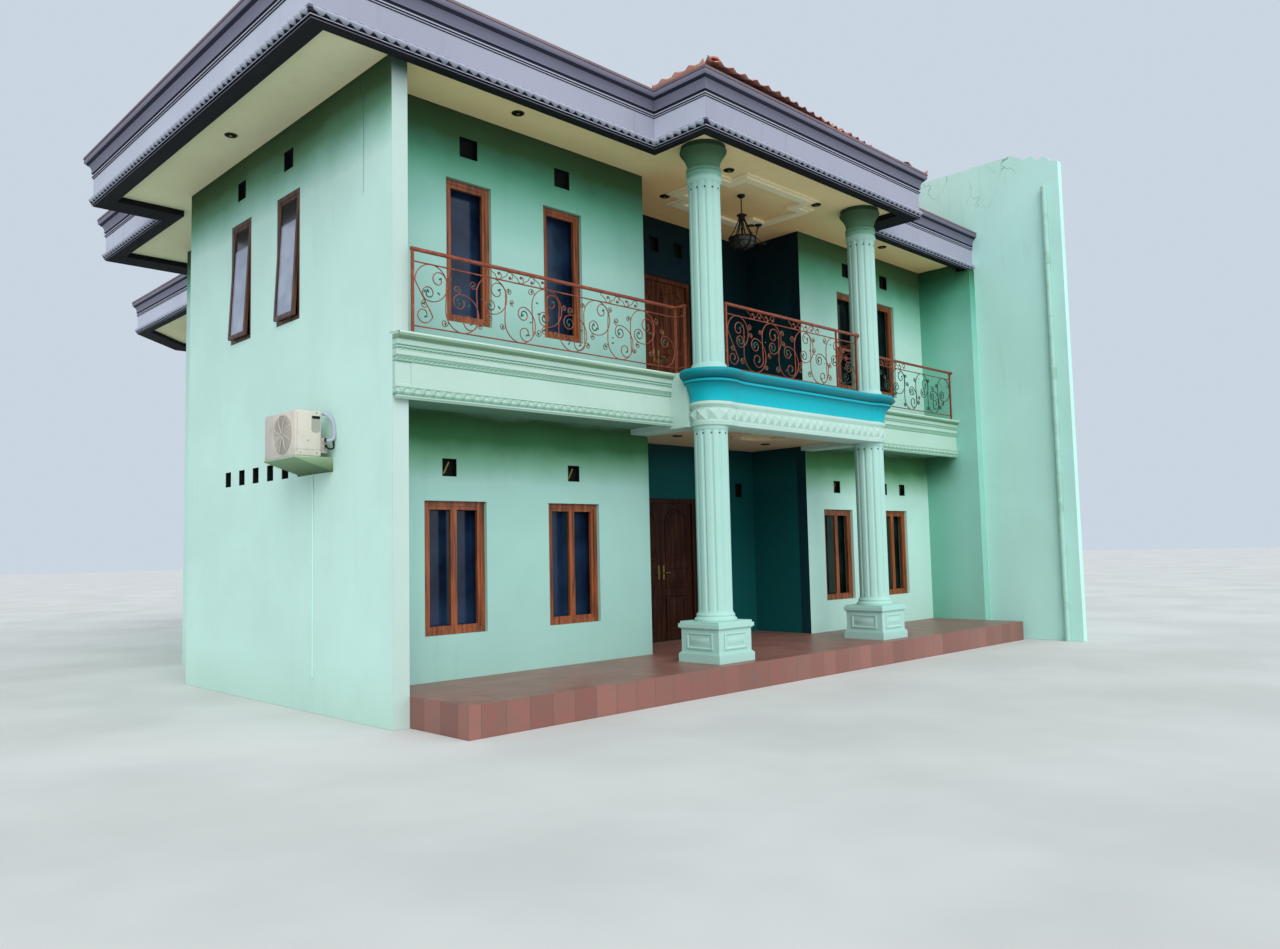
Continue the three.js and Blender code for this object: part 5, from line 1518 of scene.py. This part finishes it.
# Outdoor cooling unit on its ledge: outer and inner side, near and far end, foot and top
COOLER_X0, COOLER_X1 = -0.45, -0.14
COOLER_Y0, COOLER_Y1 = 1.3, 2.1
COOLER_Z0, COOLER_Z1 = 2.912, 3.43
COOLER_EDGE = 0.018
FAN_Y, FAN_Z = 1.62, 3.17
VALVE_X = -0.11
LEDGE = [(-0.0003, 2.75), (-0.0003, COOLER_Z0), (-0.455, COOLER_Z0), (-0.455, 2.895)]
# Middles of the feet, places of the screws, and the pipes from the valves to the wall, y from the near end
FOOT_Y = (1.42, 1.98)
SCREWS = ((-0.39, 2.95), (-0.2, 2.95), (-0.3, 3.09), (-0.2, 3.405))
LAGGED_PIPE = [
    (VALVE_X, -0.03, 3.1), (-0.07, -0.06, 3.095), (-0.025, -0.07, 3.13), (-0.018, -0.055, 3.24),
    (-0.03, -0.01, 3.35), (-0.06, 0.06, 3.405), (-0.06, 0.14, 3.42),
]
THIN_PIPE = [(VALVE_X, -0.03, 3.03), (-0.07, -0.05, 3.0), (-0.02, -0.05, 3.02), (-0.016, -0.02, 3.12)]
DRAIN_LINE = [(-0.0085, 1.78, 2.76), (-0.0085, 1.78, 0.4)]


def rounded(x0, x1, z0, z1, edge):
    """An upright rectangle with softly cut corners"""
    near = edge * 0.3
    return [
        (x0 + edge, z0), (x1 - edge, z0), (x1 - near, z0 + near), (x1, z0 + edge), (x1, z1 - edge),
        (x1 - near, z1 - near), (x1 - edge, z1), (x0 + edge, z1), (x0 + near, z1 - near), (x0, z1 - edge),
        (x0, z0 + edge), (x0 + near, z0 + near),
    ]


def cooler_body(shape):
    edge = COOLER_EDGE
    steps = [(0, edge), (edge * 0.4, edge * 0.3), (edge, 0)]
    places = [(COOLER_Y0 + back, inset) for back, inset in steps]
    places += [(COOLER_Y1 - back, inset) for back, inset in reversed(steps)]
    rows = []
    for y, inset in places:
        outline = rounded(COOLER_X0 + inset, COOLER_X1 - inset, COOLER_Z0 + inset, COOLER_Z1 - inset, edge)
        rows.append([(x, y, z) for x, z in outline])
    shape.solid(rows)
    for y in FOOT_Y:
        shape.box(-0.42, -0.17, y - 0.03, y + 0.03, 2.905, 2.916, 1)
    shape.solid([[(x, y, z) for x, z in LEDGE] for y in (COOLER_Y0, COOLER_Y1)], 2)


def fan_guard(shape):
    """Round guard of rings and swept spokes on the outer side"""
    def at(x, r, turn):
        return (x, FAN_Y + r * math.cos(turn), FAN_Z + r * math.sin(turn))

    turns = [k * math.tau / 28 for k in range(28)]
    for k in range(9):
        shape.tube([at(COOLER_X0 - 0.012, 0.03 + k * 0.024, turn) for turn in turns], 0.003, 5, closed=True)
    for turn in (k * math.tau / 8 for k in range(8)):
        line = ((-0.01, 0.02, 0.0), (-0.014, 0.13, 0.25), (-0.004, 0.228, 0.35))
        shape.tube([at(COOLER_X0 + x, r, turn + lag) for x, r, lag in line], 0.005, 5)
    shape.solid([[at(COOLER_X0 + x, 0.225, turn) for turn in turns] for x in (0.001, -0.002)], 4)


def cooler_end(shape):
    """Raised handle plate with a grip slot dark as painted shade, and seams and screws of the near end"""
    plate = []
    for out, inset in ((0.002, 0.0), (-0.006, 0.003), (-0.006, 0.014), (-0.003, 0.017)):
        x0, x1, z0, z1 = -0.262 + inset, -0.158 - inset, 3.185 + inset, 3.372 - inset
        outline = [(x0 + 0.02, z0), (x1 - 0.02, z0), (x1, z0 + 0.02), (x1, z1), (x0, z1), (x0, z0 + 0.02)]
        plate.append([(x, COOLER_Y0 + out, z) for x, z in outline])
    shape.solid(plate, 4)
    shape.box(-0.257, -0.163, COOLER_Y0 - 0.0075, COOLER_Y0 + 0.004, 3.338, 3.368, 1)
    shape.box(-0.449, -0.141, COOLER_Y0 - 0.002, COOLER_Y0 + 0.003, 2.985, 2.989, 4)
    shape.box(-0.432, -0.428, COOLER_Y0 - 0.002, COOLER_Y0 + 0.003, 2.95, 3.4, 4)
    for x, z in SCREWS:
        shape.tube([(x, COOLER_Y0 - 0.003, z), (x, COOLER_Y0 + 0.003, z)], 0.006, 8, 1)


def cooler_pipes(shape):
    """Valve block behind the casing, its lagged and thin pipes to the wall, and the drain line below"""
    shape.box(-0.145, -0.07, COOLER_Y0 + 0.002, COOLER_Y0 + 0.12, 2.955, 3.13, 4)
    for z, r in ((3.1, 0.016), (3.03, 0.013)):
        x, y = VALVE_X, COOLER_Y0
        shape.tube([(x, y + 0.02, z), (x, y - 0.035, z)], r, 8)
        shape.tube([(x, y - 0.035, z), (x, y - 0.05, z)], r * 1.35, 6, 1)
    for path, radius, look in ((LAGGED_PIPE, 0.017, 3), (THIN_PIPE, 0.009, 1)):
        shape.tube(smooth_path([(x, COOLER_Y0 + y, z) for x, y, z in path]), radius, 8, look)
    shape.tube(DRAIN_LINE, 0.008, 6, 5)


def build_cooler():
    shape = Shape()
    cooler_body(shape)
    fan_guard(shape)
    cooler_end(shape)
    cooler_pipes(shape)
    looks = [casing, dark_hole, mint_ledge, white_line, casing_shade, mint_left]
    shape.piece("cooler", looks, ["ac_unit"], smooth=35)


build_cooler()


# Side windows: the places of their middles, and how far their sashes tilt about the head
SIDE_WINDOWS = (2.485, 3.905)
SASH_TILT = math.radians(3)
SASH_HEAD = (0.026, 6.262)
PANE_HALF, PANE_FOOT, PANE_TOP = 0.222, -1.486, -0.04


def build_panes():
    """Panes in the tilted sashes of the side windows"""
    shape = Shape()
    c, s = math.cos(SASH_TILT), math.sin(SASH_TILT)
    x0, z0 = SASH_HEAD
    for y in SIDE_WINDOWS:
        near, far = y - PANE_HALF, y + PANE_HALF
        rows = []
        for deep in (0.005, 0.011):
            corners = ((near, PANE_FOOT), (far, PANE_FOOT), (far, PANE_TOP), (near, PANE_TOP))
            rows.append([(x0 + deep * c + w * s, along, z0 + w * c - deep * s) for along, w in corners])
        shape.solid(rows)
    shape.piece("side_panes", [pane], smooth=20)


# Ceiling lights: their places, and the profiles of their rim, hollow and bulb below the ceiling. The hollow
# is dark as painted shade.
LIGHTS = [
    (5.28, -0.26, SOFFIT), (7.42, -0.25, SOFFIT), (5.33, 1.07, SOFFIT), (7.4, 1.05, SOFFIT),
    (1.913, 0.281, SOFFIT), (10.186, 0.259, SOFFIT), (-0.428, 3.217, SOFFIT), (5.3, 0.9, DECK_BOTTOM),
    (7.4, 0.9, DECK_BOTTOM),
]
LIGHT_RIM = [(0.0, 0.0), (0.08, 0.0), (0.08, 0.006), (0.072, 0.012), (0.062, 0.008), (0.06, 0.001)]
LIGHT_HOLLOW = [(0.06, 0.001), (0.058, 0.004), (0.0, 0.004)]
LIGHT_BULB = [(0.0, 0.004), (0.02, 0.006), (0.024, 0.014), (0.014, 0.022), (0.0, 0.024)]


def build_lights():
    shape = Shape()
    for x, y, z in LIGHTS:
        for look, (profile, segments) in enumerate(((LIGHT_RIM, 24), (LIGHT_HOLLOW, 24), (LIGHT_BULB, 12))):
            shape.lathe([(r, z - 0.0003 - drop) for r, drop in profile], x, y, segments, look)
    shape.piece("ceiling_lights", [bronze, dark_hole, brass], smooth=40, weld=1e-5)


# Vent sleeves: depth, thickness, how far they stay behind the wall's face, and the outline of their baffle
SLEEVE_DEEP = 0.079
SLEEVE_WALL = 0.003
SLEEVE_FRONT = 0.006
BAFFLE = ((-0.5, 0.12), (-0.62, 0.2), (0.1, 0.85), (0.24, 0.8))
# Vents: their places along the wall, how far back a front wall lies, half width, foot, top and baffle
FRONT_VENTS = [
    ((1.488, 2.983, 9.7, 10.95), 0.73, 0.132, 6.631, 6.884, False),
    ((1.18, 3.105, 9.16, 10.69, 11.32), 0.73, 0.0995, 2.701, 2.909, True),
    ((5.9, 6.46), 1.88, 0.0995, 6.631, 6.874, False),
    ((7.86,), 1.88, 0.0895, 2.661, 2.899, False),
]
SIDE_VENTS = [
    (SIDE_WINDOWS, 0.132, 6.631, 6.884, False),
    ((2.105, 2.54, 2.965, 3.395, 3.828, 4.272), 0.0945, 2.751, 2.949, True),
]


class Vent:
    """A dark sleeve of four thin sides and a back, painted shade inside a vent that opens towards ahead"""

    def __init__(self, shape, centre, beside, ahead):
        self.shape = shape
        self.centre = Vector((*centre, 0))
        self.beside = beside
        self.ahead = ahead

    def plate(self, outline, near, far, look=0):
        rows = []
        for depth in (far, near):
            back = self.centre - self.ahead * depth
            rows.append([tuple(back + self.beside * u + upright(z)) for u, z in outline])
        self.shape.solid(rows, look)

    def block(self, u0, u1, z0, z1, near=SLEEVE_FRONT):
        self.plate(((u0, z0), (u1, z0), (u1, z1), (u0, z1)), near, SLEEVE_DEEP)

    def lining(self, half, z0, z1, baffle):
        """The sleeve of a vent's half width, foot and top. baffle adds a pale sloping strip."""
        inner = half - SLEEVE_WALL
        self.block(-half, half, z0, z1, SLEEVE_DEEP - SLEEVE_WALL)
        self.block(-half, -inner, z0, z1)
        self.block(inner, half, z0, z1)
        self.block(-inner, inner, z1 - SLEEVE_WALL, z1)
        self.block(-inner, inner, z0, z0 + SLEEVE_WALL)
        if baffle:
            self.plate([(half * u, z0 + (z1 - z0) * w) for u, w in BAFFLE], 0.042, 0.05, 1)


def build_vents():
    shape = Shape()
    for places, y, half, foot, top, baffle in FRONT_VENTS:
        for x in places:
            Vent(shape, (x, y), RIGHT, FRONT).lining(half, foot, top, baffle)
    for places, half, foot, top, baffle in SIDE_VENTS:
        for y in places:
            Vent(shape, (0, y), -FRONT, -RIGHT).lining(half, foot, top, baffle)
    shape.piece("vent_linings", [dark_hole, brass], smooth=30)


# Rain pipe
PIPE_X, PIPE_Y, PIPE_TOP = 12.45, -1.79, 8.3
SOCKET = [(0.05, -0.05), (0.056, -0.045), (0.056, 0.045), (0.05, 0.05)]
SOCKET_HEIGHTS = (0.9, 2.9, 4.9, 6.9)
BRACKET = [(0.049, -0.012), (0.053, -0.012), (0.053, 0.012), (0.049, 0.012)]
BRACKET_HEIGHTS = (1.9, 3.9, 5.9, 7.7)


def build_pipe():
    shape = Shape()
    shape.tube([(PIPE_X, PIPE_Y, 0.0), (PIPE_X, PIPE_Y, PIPE_TOP)], 0.0495, 20)
    for profile, heights, look in ((SOCKET, SOCKET_HEIGHTS, 0), (BRACKET, BRACKET_HEIGHTS, 1)):
        for z in heights:
            shape.lathe([(r, z + rise) for r, rise in profile], PIPE_X, PIPE_Y, 20, look)
    shape.piece("drain_pipe", [pipe_look, mint_trim], ["rain_pipe"], smooth=40)


# Stepped octagon in plaster under the porch deck, a little narrower from front to back
RELIEF_X, RELIEF_Y = 6.32, 0.1
RELIEF_NARROW = 0.85
RELIEF = [
    (0.62, 3.4697), (0.62, 3.45), (0.58, 3.445), (0.54, 3.445), (0.54, 3.425), (0.4, 3.42), (0.36, 3.44),
    (0.36, 3.4697),
]


def build_relief():
    shape = Shape()
    corners = circle(8, math.pi / 8)
    rows = [[(RELIEF_X + r * c, RELIEF_Y + r * RELIEF_NARROW * s, z) for c, s in corners] for r, z in RELIEF]
    shape.grid(rows, round_rows=True)
    shape.piece("deck_relief", [cream_low], smooth=20)


build_panes()
build_lights()
build_vents()
build_pipe()
build_relief()


# Looks of the CAD nodes that stay, by a node's name or by its first word
NODE_LOOKS = {
    "left_wall": mint_wall, "front_wall_left": mint_front, "front_wall_right": mint_front_right,
    "recess_walls": teal, "right_wall": mint_right, "party_wall": mint_party, "rear_walls": mint_left,
    "ground_floor": floor_tiles, "terrace": floor_tiles, "first_floor": concrete, "porch_deck": cream_low,
    "balcony_left": mint_edge, "balcony_right": mint_edge_right, "ceiling": cream,
    "porch_ceiling_ring": cream_ring, "glass": glass, "roof": roof_sheet,
}


def node_look(name):
    if "window" in name:
        return side_wood if name.startswith("side") else window_wood
    return NODE_LOOKS.get(name) or NODE_LOOKS.get(name.split("_")[0], mint_plain)


for name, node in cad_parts.items():
    node.data.materials.clear()
    node.data.materials.append(node_look(name).material)


# Floor, light and sky
FLOOR_HALF = 160
FLOOR_DROP = 0.002
SKY_COLOUR = (0.78, 0.88, 1.0, 1)
SKY_STRENGTH = 0.76
# Name, strength, angular size, height and direction in degrees, and tint
SUNS = (("key", 1.9, 45, 38, 240, (1, 0.98, 0.94)), ("fill", 0.6, 80, 35, 300, (0.92, 0.97, 1)))


def build_floor():
    mesh = bpy.data.meshes.new("floor")
    corners = [(x, y, 0) for x, y in ((-1, -1), (1, -1), (1, 1), (-1, 1))]
    mesh.from_pydata([(x * FLOOR_HALF, y * FLOOR_HALF, z) for x, y, z in corners], [], [(0, 1, 2, 3)])
    look = Look("floor_pale", 0.9)
    look.colour(look.mix(look.blotches(0.4), srgb(198, 198, 194), srgb(210, 210, 206)))
    mesh.materials.append(look.material)
    ground = bpy.data.objects.new("floor", mesh)
    ground.location.z = -FLOOR_DROP
    bpy.context.scene.collection.objects.link(ground)


def build_light():
    world = bpy.data.worlds.new("sky")
    world.use_nodes = True
    back = world.node_tree.nodes["Background"]
    back.inputs["Color"].default_value = SKY_COLOUR
    back.inputs["Strength"].default_value = SKY_STRENGTH
    bpy.context.scene.world = world
    for name, strength, size, height, turn, tint in SUNS:
        data = bpy.data.lights.new(name, "SUN")
        data.energy = strength
        data.angle = math.radians(size)
        data.color = tint
        sun = bpy.data.objects.new(name, data)
        tilt, around_z = math.radians(90 - height), math.radians(turn)
        level = math.sin(tilt)
        toward = Vector((level * math.cos(around_z), level * math.sin(around_z), math.cos(tilt)))
        sun.rotation_euler = toward.to_track_quat("Z", "Y").to_euler()
        bpy.context.scene.collection.objects.link(sun)
    bpy.context.scene.view_settings.view_transform = "Standard"


build_floor()
build_light()
